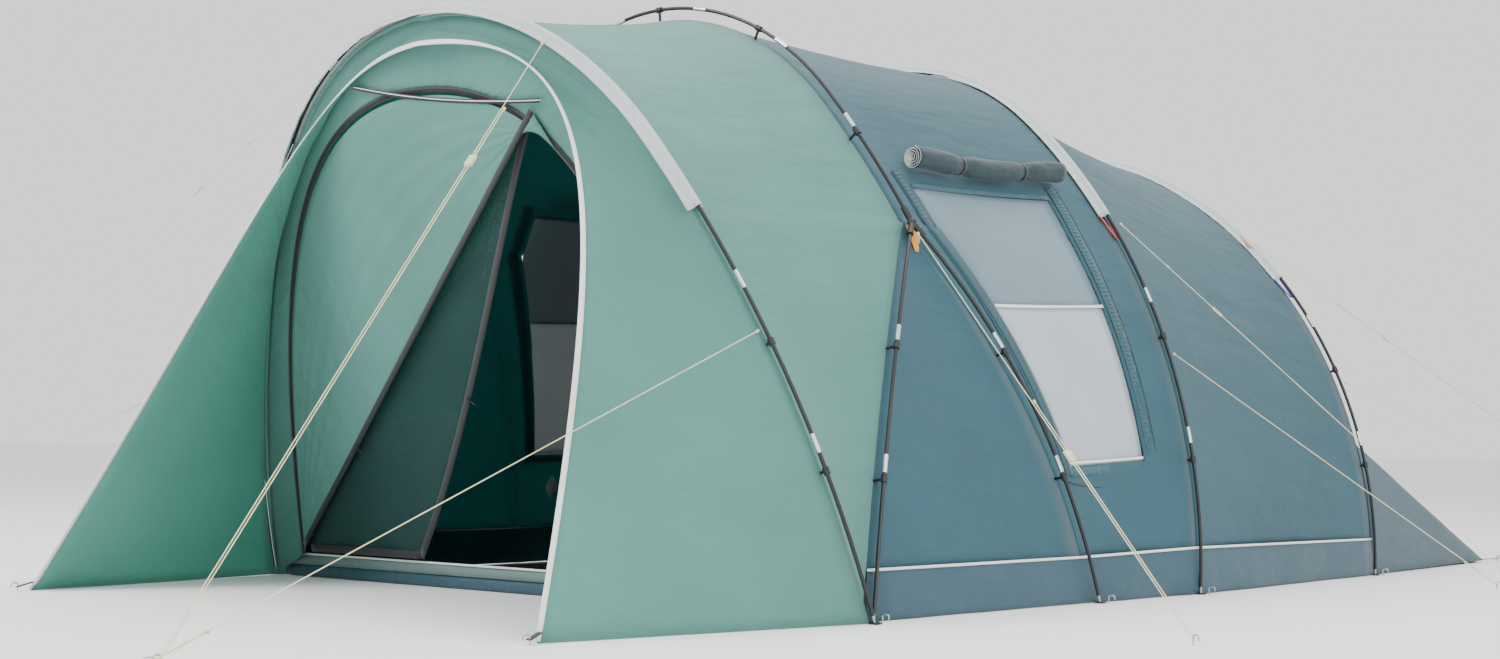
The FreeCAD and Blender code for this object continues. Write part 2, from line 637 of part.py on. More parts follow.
CLIP_SHARES = {"front": (0.175, 0.328), "third": (0.175, 0.345), "rear": (0.185, 0.355)}
ARCH_CLIPS, LEG_CLIPS = (0.3, 0.66), (0.34, 0.68)
clips = []
for name, hoop in HOOPS.items():
    cuts = joints(pole_end, hoop.length - pole_end, HOOP_SECTIONS[name])
    for share in CLIP_SHARES[name]:
        run = beside_joint(share * hoop.length / 2, cuts)
        spot = hoop.point(run)
        clips.append(clip_at(spot, hoop.direction(run), (hoop.point(run, 10) - spot).normalize(), fly_gap))
arch_cuts = joints(hub_start, arch.length - hub_start, HOOP_SECTIONS["arch"])
arch_runs = [beside_joint(share * arch.length / 2, arch_cuts) for share in ARCH_CLIPS] + [arch.length / 2]
arch_clips = [clip_at(arch.point(run), arch.direction(run),
                      (arch.point(run, 10) - arch.point(run)).normalize(), mid_gap) for run in arch_runs]
for leg in legs:
    cuts = joints(leg.begin, leg.finish, LEG_SECTIONS)
    for share in LEG_CLIPS:
        angle = beside_joint(leg.sweep * share, cuts, leg.radius)
        along = leg.direction(angle)
        inside = Vector(-1, 0, 0)
        square_in = (inside - along * inside.dot(along)).normalize()
        clips.append(clip_at(leg.point(angle), along, square_in, mid_gap - 2))
feature("pole_clips", both_sides(clips + arch_clips[:-1]) + arch_clips[-1:])

TRIM_STEPS = 14
BEAD_GAP = 0.3


def rod(start, end, diameter):
    return Part.makeCylinder(diameter / 2, (end - start).Length, start, end - start)


def beaded(points, diameter):
    """Short rods end to end along a line of points."""
    rods = []
    for start, end in zip(points, points[1:]):
        along = (end - start).normalize() * diameter * BEAD_GAP
        rods.append(rod(start + along, end - along, diameter))
    return rods


binding, piping = size("binding_diameter"), size("piping_diameter")
trim_points = [trim_line.point(index / TRIM_STEPS) + Vector(0, -binding / 2 - cloth, 0)
               for index in range(TRIM_STEPS + 1)]
trim_points[0] = trim_points[0] + UP * binding
feature("hood_trim", both_sides(beaded(trim_points, binding)))
piping_points = [line.point(flap) + Vector(piping / 2 + cloth + 1, 0, 0)
                 for line in (near_line, far_line, third_line, rear_line)]
feature("reflective_piping", both_sides(beaded(piping_points, piping)))

# window curtains rolled up under the eaves
ROLL_RISE, ROLL_CLEARANCE = 0.035, 16.0
TIE_PLACES, TIE_WALL, TIE_CLEARANCE = (0.3, 0.72), 2.5, 0.5
roll_share = window_high + ROLL_RISE
roll_diameter, tie_width = size("roll_diameter"), size("tie_width")
roll_ends = []
for way in (size("window_near"), size("window_far")):
    near, far = far_line.point(roll_share), third_line.point(roll_share)
    outwards = inward(far_line, third_line, roll_share, 1) * -(roll_diameter / 2 + ROLL_CLEARANCE)
    roll_ends.append(near * (1 - way) + far * way + outwards)
feature("curtain_rolls", both_sides([rod(roll_ends[0], roll_ends[1], roll_diameter)]))
ties = []
roll_along = roll_ends[1] - roll_ends[0]
tie_along = Vector(roll_along).normalize() * tie_width
for share in TIE_PLACES:
    spot = roll_ends[0] + roll_along * share
    band = rod(spot, spot + tie_along, roll_diameter + 2 * (TIE_WALL + TIE_CLEARANCE))
    ties += band.cut(rod(spot - tie_along, spot + tie_along * 2, roll_diameter + 2 * TIE_CLEARANCE)).Solids
feature("curtain_ties", both_sides(ties))

# ---------------------------------------------------------------- pegs, straps and guy lines
hook, wire = size("peg_hook"), size("peg_wire")
EYELET_THICK, EYELET_LIFT, EYELET_MARGIN = 3.0, 0.2, 7.4
eyelets = []
feet = [hoop.point(0) for hoop in HOOPS.values()] + leg_feet
eyelet_length, eyelet_width = size("eyelet_length"), size("eyelet_hole") + 2 * EYELET_MARGIN
for foot in feet:
    plate = Part.makeBox(eyelet_length, eyelet_width, EYELET_THICK,
                         foot + Vector(-eyelet_length / 2, -eyelet_width / 2, EYELET_LIFT))
    eyelets += plate.cut(Part.makeCylinder(size("eyelet_hole") / 2, 4 * EYELET_THICK,
                                           foot - UP * EYELET_THICK)).Solids
feature("foot_eyelets", both_sides(eyelets))


def tube_path(points, radii, diameter):
    """A tube of straight runs with a tangent arc at each inner point."""
    edges, last = [], points[0]
    for index in range(1, len(points) - 1):
        before, spot, after = points[index - 1], points[index], points[index + 1]
        enter, leave = (before - spot).normalize(), (after - spot).normalize()
        half_turn = (math.pi - enter.getAngle(leave)) / 2
        setback = radii[index - 1] * math.tan(half_turn)
        begin, end = spot + enter * setback, spot + leave * setback
        bisector = (enter + leave).normalize()
        centre = spot + bisector * (radii[index - 1] / math.cos(half_turn))
        middle = centre - bisector * radii[index - 1]
        edges.append(Part.LineSegment(last, begin).toShape())
        edges.append(Part.Arc(begin, middle, end).toShape())
        last = end
    edges.append(Part.LineSegment(last, points[-1]).toShape())
    path = Part.Wire(edges)
    start_along = (points[1] - points[0]).normalize()
    profile = Part.Wire(Part.makeCircle(diameter / 2, points[0], start_along))
    return path.makePipeShell([profile], True, True), path.Length


PEG_BEND, PEG_HEAD, PEG_TIP = 1.2, 24.0, 14.0


def peg(spot, away):
    """A peg's stub and its hook, which opens away from the pull; the shaft below ground is left out."""
    head = spot + UP * (size("peg_stub") - wire / 2)
    route = [spot, head, head + away * PEG_HEAD, head + away * PEG_HEAD - UP * PEG_TIP]
    return tube_path(route, [PEG_BEND * wire] * 2, wire)[0]


def level(vector):
    """A vector's direction along the ground."""
    return Vector(vector.x, vector.y, 0).normalize()


PEG_ASIDE, PEG_BEYOND = 14.0, 40.0
STRAP_WIDE, STRAP_REACH, STRAP_GAP, STRAP_LIFT = 26.0, 46.0, 1.0, 0.5
tent_pegs, straps = [], []
for spot, sense in ((at(size("front_peg_half"), -size("front_peg_reach"), 0), -1),
                    (at(size("rear_peg_half"), size("rear_peg_reach"), 0), 1)):
    peg_at = spot + Vector(PEG_ASIDE, sense * PEG_BEYOND, 0)
    tent_pegs.append(peg(peg_at, Vector(0, sense, 0)))
    low_y = min(sense * STRAP_GAP, sense * STRAP_REACH)
    strap = Part.makeBox(STRAP_WIDE, STRAP_REACH - STRAP_GAP, cloth,
                         spot + Vector(PEG_ASIDE - STRAP_WIDE / 2, low_y, STRAP_LIFT))
    straps += strap.cut(Part.makeCylinder(wire, 4 * cloth, peg_at - UP * cloth)).Solids
for foot in feet[1:]:
    tent_pegs.append(peg(foot + Vector(eyelet_length, 0, 0), Vector(1, 0, 0)))
feature("tent_pegs", both_sides(tent_pegs))
feature("corner_straps", both_sides(straps))

guy, GUY_MARGIN, GUY_TAIL, HOOK_DROP, GUY_BEND = size("guy_diameter"), 2.5, 160.0, 12.0, 0.9
POLE_GAP, HUB_GAP = 20.0, 57.0


def sleeve_gap(hoop, run, along):
    """How far along a line the pole's sleeve is behind it."""
    outwards = (hoop.point(run) - hoop.point(run, 10)).normalize()
    deep = (size("sleeve_depth") / 2 + guy + GUY_MARGIN) / max(abs(along.dot(outwards)), 0.05)
    wide = (size("sleeve_width") / 2 + guy + GUY_MARGIN) / max(abs(along.dot(hoop.normal())), 0.05)
    return max(min(deep, wide), POLE_GAP)


class Guy:
    """A guy line: from the tent to its peg's hook, half round the hook and back up."""

    def __init__(self, hoop, share, peg_spot, runner_share):
        run = share * hoop.length / 2 if hoop else 0.0
        leave = hoop.point(run) if hoop else hub_point
        self.grip = peg_spot + UP * (size("peg_stub") - HOOK_DROP)
        self.along = (self.grip - leave).normalize()
        self.across = UP.cross(self.along).normalize()
        gap = HUB_GAP
        if hoop:
            in_sleeve = share > 1 - sleeve_shares[[name for name in HOOPS if HOOPS[name] is hoop][0]]
            gap = sleeve_gap(hoop, run, self.along) if in_sleeve else POLE_GAP
        half = (hook + guy) / 2
        start = leave + self.along * gap - self.across * half
        beyond = self.grip + self.along * (half + wire / 2)
        self.total = (self.grip - start).Length
        self.has_runner = runner_share > 0
        self.runner_middle = self.grip - self.along * self.total * (1 - runner_share)
        tail = self.grip - self.along * GUY_TAIL
        if self.has_runner:
            tail = self.runner_middle - self.along * size("runner_tail")
        self.points = [start, beyond - self.across * half, beyond + self.across * half,
                       tail + self.across * half]
        self.solid, self.length = tube_path(self.points, [half * GUY_BEND] * 2, guy)
        self.peg = peg(peg_spot, level(peg_spot - leave))

    def runner(self):
        """The tensioner: a flat block that both strands run through."""
        turn = Rotation(self.across, self.along.cross(self.across), self.along, "ZXY")
        span, wide, thick = size("runner_length"), size("runner_width"), size("runner_thick")
        block = Part.makeBox(wide, thick, span, Vector(-wide / 2, -thick / 2, -span / 2))
        block.Placement = Placement(self.runner_middle, turn)
        for start, end in ((self.points[0], self.points[1]), (self.points[2], self.points[3])):
            way = (end - start).normalize()
            near = start + way * (self.runner_middle - start).dot(way)
            hole = Part.makeCylinder(size("runner_hole") / 2, 3 * span, near - way * 1.5 * span, way)
            block = block.cut(hole)
        return block.Solids[0]


GUYS = {
    # name: hoop (None for the hub), share of its half length, its peg, how far down its runner is (0: none)
    "front_upper": Guy(front, 0.785, at(1100, -2200, 0), 0.24),
    "front_mid": Guy(front, 0.345, at(1140, -2245, 0), 0),
    "hub": Guy(None, 0, at(2496, 142, 0), 0.6),
    "third_upper": Guy(third, 0.55, at(2400, 2620, 0), 0.25),
    "third_mid": Guy(third, 0.325, at(2100, 3050, 0), 0),
    "rear_upper": Guy(rear, 0.66, at(2360, 4630, 0), 0.3),
    "rear_mid": Guy(rear, 0.335, at(2410, 4560, 0), 0),
}
for side_name, side in (("right", 1), ("left", -1)):
    for name, line in GUYS.items():
        pieces = {"guy": line.solid}
        if line.has_runner:
            pieces["runner"] = line.runner()
        for kind, shape in pieces.items():
            feature("_".join((kind, name, side_name)), (shape if side == 1 else mirrored(shape)).Solids[:1])
feature("guy_pegs", both_sides([line.peg for line in GUYS.values()]))
for name, line in GUYS.items():
    print("%-12s length %7.1f" % (name, line.length))

# ---------------------------------------------------------------- checks and export
doc.recompute()
names = set()
for item in parts:
    state = [word for word in item.State if word in ("Invalid", "Error")]
    if state or item.Shape.isNull() or not item.Shape.isValid():
        raise RuntimeError("%s is not sound: %s" % (item.Label, state))
    if item.Label in names:
        raise RuntimeError("two sub-parts are named " + item.Label)
    names.add(item.Label)

os.makedirs("parts", exist_ok=True)
for item in parts:
    item.Shape.exportStep("parts/" + item.Label + ".step")
whole = Part.makeCompound([item.Shape for item in parts]).BoundBox
print(len(parts), "sub-parts, box", [round(value, 1) for value in
      (whole.XMin, whole.XMax, whole.YMin, whole.YMax, whole.ZMin, whole.ZMax)])
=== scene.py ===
"""A four-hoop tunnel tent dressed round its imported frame: cloth, windows, doors, sleeves, cords and trims.

Everything is in metres, in the frame's own axes: X across, +Y from the porch to the rear, +Z up.
"Back" is the distance behind the front hoop's feet.
"""
from __future__ import annotations

import logging
import math
from dataclasses import dataclass
from enum import Enum
from typing import Callable, Sequence

import bmesh
import bpy
import numpy as np
from mathutils import Matrix, Vector, noise


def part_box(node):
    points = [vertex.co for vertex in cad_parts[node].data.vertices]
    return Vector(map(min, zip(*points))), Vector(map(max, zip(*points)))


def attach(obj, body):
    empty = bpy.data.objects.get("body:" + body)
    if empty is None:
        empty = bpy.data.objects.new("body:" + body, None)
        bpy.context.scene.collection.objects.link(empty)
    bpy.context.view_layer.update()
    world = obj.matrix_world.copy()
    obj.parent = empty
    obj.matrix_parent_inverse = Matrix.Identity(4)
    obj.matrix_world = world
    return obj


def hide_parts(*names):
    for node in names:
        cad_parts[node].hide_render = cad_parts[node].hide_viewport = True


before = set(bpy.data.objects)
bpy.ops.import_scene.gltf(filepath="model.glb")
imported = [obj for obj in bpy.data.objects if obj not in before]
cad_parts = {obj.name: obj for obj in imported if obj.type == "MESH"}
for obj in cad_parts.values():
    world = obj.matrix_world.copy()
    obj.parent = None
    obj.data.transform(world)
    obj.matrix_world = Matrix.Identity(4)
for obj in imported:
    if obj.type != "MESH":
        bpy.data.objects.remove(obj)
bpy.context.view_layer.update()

LOG = logging.getLogger("tent")
Points = np.ndarray
ROOT = "tent"
ORIGIN_BACK = 1.875
CLOTH_THICK = 0.0014
HUB_SHARE = 0.5
FLAP_SHARE = 0.06


class Side(Enum):
    """Which side of the tent a piece is on."""

    RIGHT = 1
    LEFT = -1

    @property
    def label(self) -> str:
        """The side's word in piece names."""
        return self.name.lower()


def at(x: float, back: float, z: float) -> Points:
    """A point from its distance behind the front hoop's feet."""
    return np.array([x, back - ORIGIN_BACK, z])


# ---------------------------------------------------------------- finishes
class Nodes:
    """A short way to build one material's node tree."""

    def __init__(self, name: str) -> None:
        self.material = bpy.data.materials.new(name)
        self.material.use_nodes = True
        self.tree = self.material.node_tree
        self.tree.nodes.clear()
        self.output = self.add("ShaderNodeOutputMaterial")

    def add(self, kind: str, **values: object) -> bpy.types.Node:
        """Adds a node; a value's name is a socket's, or a property's where no socket has it."""
        node = self.tree.nodes.new(kind)
        for name, value in values.items():
            socket = node.inputs.get(name.replace("_", " "))
            if socket is not None and name[0].isupper():
                socket.default_value = value
            else:
                setattr(node, name, value)
        return node

    def link(self, start: bpy.types.NodeSocket, end: bpy.types.NodeSocket) -> None:
        """Joins two sockets."""
        self.tree.links.new(start, end)

    def noise(self, vector: bpy.types.NodeSocket, scale: float, detail: float = 4.0) -> bpy.types.NodeSocket:
        """A noise pattern's grey value."""
        node = self.add("ShaderNodeTexNoise", Scale=scale, Detail=detail)
        self.link(vector, node.inputs["Vector"])
        return node.outputs["Fac"]

    def ramp(self, grey: bpy.types.NodeSocket, dark: Sequence[float], light: Sequence[float],
             low: float = 0.3, high: float = 0.7) -> bpy.types.NodeSocket:
        """A colour between two, led by a grey value."""
        node = self.add("ShaderNodeValToRGB")
        node.color_ramp.elements[0].position = low
        node.color_ramp.elements[1].position = high
        node.color_ramp.elements[0].color = (*dark, 1)
        node.color_ramp.elements[1].color = (*light, 1)
        self.link(grey, node.inputs["Fac"])
        return node.outputs["Color"]

    def bump(self, height: bpy.types.NodeSocket, distance: float, strength: float,
             before: bpy.types.NodeSocket | None = None) -> bpy.types.NodeSocket:
        """A bumped normal, on top of another where given."""
        node = self.add("ShaderNodeBump", Distance=distance, Strength=strength)
        self.link(height, node.inputs["Height"])
        if before is not None:
            self.link(before, node.inputs["Normal"])
        return node.outputs["Normal"]


def shade(colour: Sequence[float], factor: float) -> tuple[float, float, float]:
    """A colour made lighter or darker."""
    return tuple(min(channel * factor, 1.0) for channel in colour)


@dataclass(frozen=True)
class Cloth:
    """Coated woven cloth: weave, ripstop grid, soft creases and a little light coming through."""

    name: str
    colour: tuple[float, float, float]
    rough: float = 0.62
    through: float = 0.2
    glow: tuple[float, float, float] | None = None
    thread: float = 0.0016
    grid: float = 0.0
    vary: float = 0.08
    crease: float = 0.35
    sheen: float = 0.15

    def make(self) -> bpy.types.Material:
        """The finish's material."""
        nodes = Nodes(self.name)
        place = nodes.add("ShaderNodeTexCoord")
        spread = nodes.noise(place.outputs["Object"], 2.2, 5.0)
        tint = nodes.ramp(spread, shade(self.colour, 1 - self.vary), shade(self.colour, 1 + self.vary))
        warp = nodes.add("ShaderNodeTexWave", wave_type="BANDS", bands_direction="X",
                         Scale=0.314 / self.thread)
        weft = nodes.add("ShaderNodeTexWave", wave_type="BANDS", bands_direction="Y",
                         Scale=0.314 / self.thread)
        for wave in (warp, weft):
            nodes.link(place.outputs["UV"], wave.inputs["Vector"])
        weave = nodes.add("ShaderNodeMath", operation="MAXIMUM")
        nodes.link(warp.outputs["Fac"], weave.inputs[0])
        nodes.link(weft.outputs["Fac"], weave.inputs[1])
        normal = nodes.bump(weave.outputs[0], 0.0003, 0.25)
        stretch = nodes.add("ShaderNodeMapping")
        stretch.inputs["Scale"].default_value = (1.6, 5.0, 1.0)
        nodes.link(place.outputs["UV"], stretch.inputs["Vector"])
        normal = nodes.bump(nodes.noise(stretch.outputs["Vector"], 2.4, 3.0), 0.03, self.crease, normal)
        normal = nodes.bump(nodes.noise(place.outputs["Object"], 26.0, 3.0), 0.004, self.crease * 0.5, normal)
        base = nodes.add("ShaderNodeBsdfPrincipled", Roughness=self.rough)
        base.inputs["Sheen Weight"].default_value = self.sheen
        base.inputs["Specular IOR Level"].default_value = 0.4
        colour_out = tint
        if self.grid:
            rip = nodes.add("ShaderNodeTexBrick", Scale=1.0, offset=0.0)
            rip.inputs["Color1"].default_value = (1, 1, 1, 1)
            rip.inputs["Color2"].default_value = (1, 1, 1, 1)
            rip.inputs["Mortar"].default_value = (0.72, 0.72, 0.72, 1)
            rip.inputs["Mortar Size"].default_value = self.grid * 0.06
            rip.inputs["Brick Width"].default_value = self.grid
            rip.inputs["Row Height"].default_value = self.grid
            nodes.link(place.outputs["UV"], rip.inputs["Vector"])
            mix = nodes.add("ShaderNodeMix", data_type="RGBA", blend_type="MULTIPLY")
            mix.inputs[0].default_value = 1.0
            nodes.link(tint, mix.inputs[6])
            nodes.link(rip.outputs["Color"], mix.inputs[7])
            colour_out = mix.outputs[2]
        nodes.link(colour_out, base.inputs["Base Color"])
        nodes.link(normal, base.inputs["Normal"])
        surface = base.outputs[0]
        if self.through > 0:
            glow = nodes.add("ShaderNodeBsdfTranslucent")
            if self.glow:
                glow.inputs["Color"].default_value = (*self.glow, 1)
            else:
                nodes.link(colour_out, glow.inputs["Color"])
            nodes.link(normal, glow.inputs["Normal"])
            mixed = nodes.add("ShaderNodeMixShader", Fac=self.through)
            nodes.link(base.outputs[0], mixed.inputs[1])
            nodes.link(glow.outputs[0], mixed.inputs[2])
            surface = mixed.outputs[0]
        nodes.link(surface, nodes.output.inputs["Surface"])
        return nodes.material


@dataclass(frozen=True)
class Film:
    """Clear window film or fine mesh that is partly seen through."""

    name: str
    colour: tuple[float, float, float]
    alpha: float
    rough: float = 0.15
    mesh_pitch: float = 0.0

    def make(self) -> bpy.types.Material:
        """The finish's material."""
        nodes = Nodes(self.name)
        place = nodes.add("ShaderNodeTexCoord")
        spread = nodes.noise(place.outputs["Object"], 3.0)
        tint = nodes.ramp(spread, shade(self.colour, 0.92), shade(self.colour, 1.06))
        base = nodes.add("ShaderNodeBsdfPrincipled", Roughness=self.rough)
        nodes.link(tint, base.inputs["Base Color"])
        height = nodes.noise(place.outputs["Object"], 7.0, 2.0)
        if self.mesh_pitch:
            wave = nodes.add("ShaderNodeTexWave", wave_type="BANDS", bands_direction="DIAGONAL",
                             Scale=0.314 / self.mesh_pitch)
            nodes.link(place.outputs["UV"], wave.inputs["Vector"])
            height = wave.outputs["Fac"]
        nodes.link(nodes.bump(height, 0.004, 0.3), base.inputs["Normal"])
        base.inputs["Alpha"].default_value = self.alpha
        nodes.link(base.outputs[0], nodes.output.inputs["Surface"])
        return nodes.material


@dataclass(frozen=True)
class Solid:
    """Plastic, metal or webbing with fine grain."""

    name: str
    colour: tuple[float, float, float]
    rough: float = 0.4
    metal: float = 0.0
    grain: float = 180.0
    depth: float = 0.0004
    vary: float = 0.12
    rib: float = 0.0

    def make(self) -> bpy.types.Material:
        """The finish's material."""
        nodes = Nodes(self.name)
        place = nodes.add("ShaderNodeTexCoord")
        spread = nodes.noise(place.outputs["Object"], self.grain * 0.1)
        tint = nodes.ramp(spread, shade(self.colour, 1 - self.vary), shade(self.colour, 1 + self.vary))
        base = nodes.add("ShaderNodeBsdfPrincipled", Metallic=self.metal)
        fine = nodes.noise(place.outputs["Object"], self.grain, 2.0)
        level = nodes.add("ShaderNodeMapRange")
        level.inputs["To Min"].default_value = max(self.rough - 0.08, 0.05)
        level.inputs["To Max"].default_value = min(self.rough + 0.1, 1.0)
        nodes.link(fine, level.inputs["Value"])
        nodes.link(level.outputs[0], base.inputs["Roughness"])
        height = fine
        if self.rib:
            wave = nodes.add("ShaderNodeTexWave", wave_type="BANDS", bands_direction="DIAGONAL",
                             Scale=0.314 / self.rib)
            nodes.link(place.outputs["Object"], wave.inputs["Vector"])
            height = wave.outputs["Fac"]
        nodes.link(tint, base.inputs["Base Color"])
        nodes.link(nodes.bump(height, self.depth, 0.5), base.inputs["Normal"])
        nodes.link(base.outputs[0], nodes.output.inputs["Surface"])
        return nodes.material


FINISHES = {
    "fly_light": Cloth("fly_light", (0.125, 0.33, 0.295), through=0.34, glow=(0.03, 0.50, 0.36)),
    "fly_dark": Cloth("fly_dark", (0.034, 0.120, 0.158), through=0.3, glow=(0.015, 0.36, 0.33)),
    "mud_flap": Cloth("mud_flap", (0.022, 0.075, 0.105), through=0.03, rough=0.55),
    "sleeve": Cloth("sleeve", (0.55, 0.60, 0.60), through=0.1, crease=0.5),
    "curtain": Cloth("curtain", (0.010, 0.032, 0.040), through=0.0, crease=0.8),
    "lining": Cloth("lining", (0.62, 0.64, 0.62), through=0.0),
    "inner_cloth": Cloth("inner_cloth", (0.36, 0.38, 0.37), through=0.25),
    "groundsheet": Cloth("groundsheet", (0.035, 0.038, 0.042), through=0.0, rough=0.5, grid=0.01),
    "sill": Cloth("sill", (0.12, 0.19, 0.18), through=0.0),
    "trim": Cloth("trim", (0.80, 0.80, 0.77), through=0.0, thread=0.001, crease=0.1),
    "webbing": Cloth("webbing", (0.012, 0.013, 0.014), through=0.0, thread=0.0012, crease=0.1),
    "strap_red": Cloth("strap_red", (0.55, 0.045, 0.03), through=0.0, thread=0.0012, crease=0.1),
    "strap_blue": Cloth("strap_blue", (0.03, 0.10, 0.45), through=0.0, thread=0.0012, crease=0.1),
    "gusset": Cloth("gusset", (0.85, 0.36, 0.04), through=0.1),
    "mesh": Film("mesh", (0.012, 0.060, 0.056), 0.52, rough=0.8, mesh_pitch=0.0015),
    "mesh_panel": Film("mesh_panel", (0.022, 0.085, 0.085), 0.80, rough=0.7, mesh_pitch=0.0015),
    "window_low": Film("window_low", (0.50, 0.55, 0.59), 0.82, rough=0.25),
    "window_high": Film("window_high", (0.17, 0.26, 0.31), 0.9, rough=0.35),
    "band": Cloth("band", (0.030, 0.110, 0.140), through=0.1, crease=0.7),
    "pole": Solid("pole", (0.012, 0.012, 0.013), rough=0.32, grain=90),
    "ferrule": Solid("ferrule", (0.72, 0.73, 0.74), rough=0.25, metal=1.0, grain=220),
    "plastic_black": Solid("plastic_black", (0.012, 0.012, 0.013), rough=0.45),
    "runner_pale": Solid("runner_pale", (0.66, 0.60, 0.40), rough=0.45),
    "steel": Solid("steel", (0.5, 0.5, 0.51), rough=0.35, metal=1.0),
    "cord": Solid("cord", (0.74, 0.68, 0.42), rough=0.8, rib=0.0022, depth=0.0006),
    "zip": Cloth("zip", (0.016, 0.018, 0.02), through=0.0, thread=0.001, crease=0.1),
    "emblem": Cloth("emblem", (0.55, 0.60, 0.60), through=0.0, crease=0.1),
}
MATERIALS: dict[str, bpy.types.Material] = {}


def finish(name: str) -> bpy.types.Material:
    """A finish's material, made once."""
    if name not in MATERIALS:
        MATERIALS[name] = FINISHES[name].make()
    return MATERIALS[name]


# ---------------------------------------------------------------- meshes
def new_piece(name: str, data: bpy.types.ID, material: str, body: str = ROOT,
              nodes: Sequence[str] = ()) -> bpy.types.Object:
    """Puts a finished mesh or curve into the scene and ties it to the frame.

    Args:
        name: the piece's name.
        data: its mesh or curve, in the frame's own place.
        material: the finish's name.
        body: the body it rides on.
        nodes: the CAD nodes it stands for.

    Returns:
        The object.
    """
    piece = bpy.data.objects.new(name, data)
    bpy.context.scene.collection.objects.link(piece)
    if not data.materials:
        data.materials.append(finish(material))
    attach(piece, body)
    if nodes:
        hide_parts(*nodes)
    LOG.info("piece %s on %s", name, body)
    return piece


def mesh_of(name: str, points: Sequence[Sequence[float]], faces: Sequence[Sequence[int]],
            uvs: Sequence[Sequence[float]] | None = None) -> bpy.types.Mesh:
    """A mesh from points and faces, smooth, with a UV for each point where given."""
    data = bpy.data.meshes.new(name)
    data.from_pydata([tuple(map(float, point)) for point in points], [], [tuple(face) for face in faces])
    data.update()
    layer = data.uv_layers.new(name="UVMap")
    table = uvs if uvs is not None else [(point[0] + point[1], point[2]) for point in points]
    for loop in data.loops:
        layer.data[loop.index].uv = table[loop.vertex_index]
    data.polygons.foreach_set("use_smooth", [True] * len(data.polygons))
    return data


def grid_faces(rows: int, columns: int,
               skip: Callable[[int, int], bool] | None = None) -> list[tuple[int, ...]]:
    """Quads of a grid whose columns run back and whose rows run from right to left over the top."""
    faces = []
    for row in range(rows - 1):
        for column in range(columns - 1):
            if skip and skip(row, column):
                continue
            corner = row * columns + column
            faces.append((corner, corner + 1, corner + columns + 1, corner + columns))
    return faces


def grid_uv(grid: Points) -> list[tuple[float, float]]:
    """UVs in metres, from the grid's own lengths."""
    rows, columns = grid.shape[:2]
    down = np.zeros((rows, columns))
    along = np.zeros((rows, columns))
    down[1:] = np.cumsum(np.linalg.norm(np.diff(grid, axis=0), axis=2), axis=0)
    along[:, 1:] = np.cumsum(np.linalg.norm(np.diff(grid, axis=1), axis=2), axis=1)
    middle = down[:, columns // 2]
    return [(along[row, column], middle[row]) for row in range(rows) for column in range(columns)]


def drop_loose(data: bpy.types.Mesh) -> None:
    """Removes points that no face uses."""
    used = {index for face in data.polygons for index in face.vertices}
    if len(used) == len(data.vertices):
        return
    work = bmesh.new()
    work.from_mesh(data)
    bmesh.ops.delete(work, geom=[vert for vert in work.verts if not vert.link_faces], context="VERTS")
    work.to_mesh(data)
    work.free()


def sheet_piece(name: str, grid: Points, material: str, nodes: Sequence[str] = (),
                body: str = ROOT,
                skip: Callable[[int, int], bool] | None = None, thick: float = CLOTH_THICK,
                declare: bool = True) -> bpy.types.Object:
    """A sheet of cloth from a grid of points, with its own thickness on the inside.

    Args:
        name: the piece's name.
        grid: rows by columns of points; see grid_faces for which way they run.
        material: the finish's name.
        nodes: the CAD nodes it stands for.
        body: the body it rides on.
        skip: tells which quads are left out.
        thick: the sheet's thickness.
        declare: False for narrow tape; True only works out the sheet's flat width and length.

    Returns:
        The object.
    """
    rows, columns = grid.shape[:2]
    data = mesh_of(name, grid.reshape(-1, 3), grid_faces(rows, columns, skip), grid_uv(grid))
    drop_loose(data)
    area = sum(face.area for face in data.polygons)
    piece = new_piece(name, data, material, body, nodes)
    wall = piece.modifiers.new("thickness", "SOLIDIFY")
    wall.thickness, wall.offset = thick, -1
    if declare:
        width = float(np.linalg.norm(np.diff(grid, axis=1), axis=2).sum(axis=1).max())
        length = float(np.linalg.norm(np.diff(grid, axis=0), axis=2).sum(axis=0).max())
        if area < 0.35 * width * length:
            length = area / (0.5 * width)
    return piece


def tube_mesh(name: str, path: Points, radius: Sequence[float] | float, sides: int = 10,
              closed: bool = True) -> bpy.types.Mesh:
    """A round tube along a path, with closed ends."""
    count = len(path)
    radii = [radius] * count if isinstance(radius, (int, float)) else list(radius)
    tangents = np.gradient(path, axis=0)
    tangents /= np.linalg.norm(tangents, axis=1)[:, None]
    guide = np.array([0.0, 0.0, 1.0]) if abs(tangents[0][2]) < 0.9 else np.array([1.0, 0.0, 0.0])
    points, faces, uvs = [], [], []
    run = 0.0
    for index in range(count):
        across = np.cross(tangents[index], guide)
        across /= np.linalg.norm(across)
        guide = np.cross(across, tangents[index])
        run += float(np.linalg.norm(path[index] - path[index - 1])) if index else 0.0
        for step in range(sides):
            turn = 2 * math.pi * step / sides
            points.append(path[index] + radii[index] * (math.cos(turn) * across + math.sin(turn) * guide))
            uvs.append((radii[index] * turn, run))
    for index in range(count - 1):
        for step in range(sides):
            after = (step + 1) % sides
            one, two = index * sides + step, index * sides + after
            faces.append((one, two, two + sides, one + sides))
    if closed:
        faces.append(tuple(reversed(range(sides))))
        faces.append(tuple(range((count - 1) * sides, count * sides)))
    return mesh_of(name, points, faces, uvs)


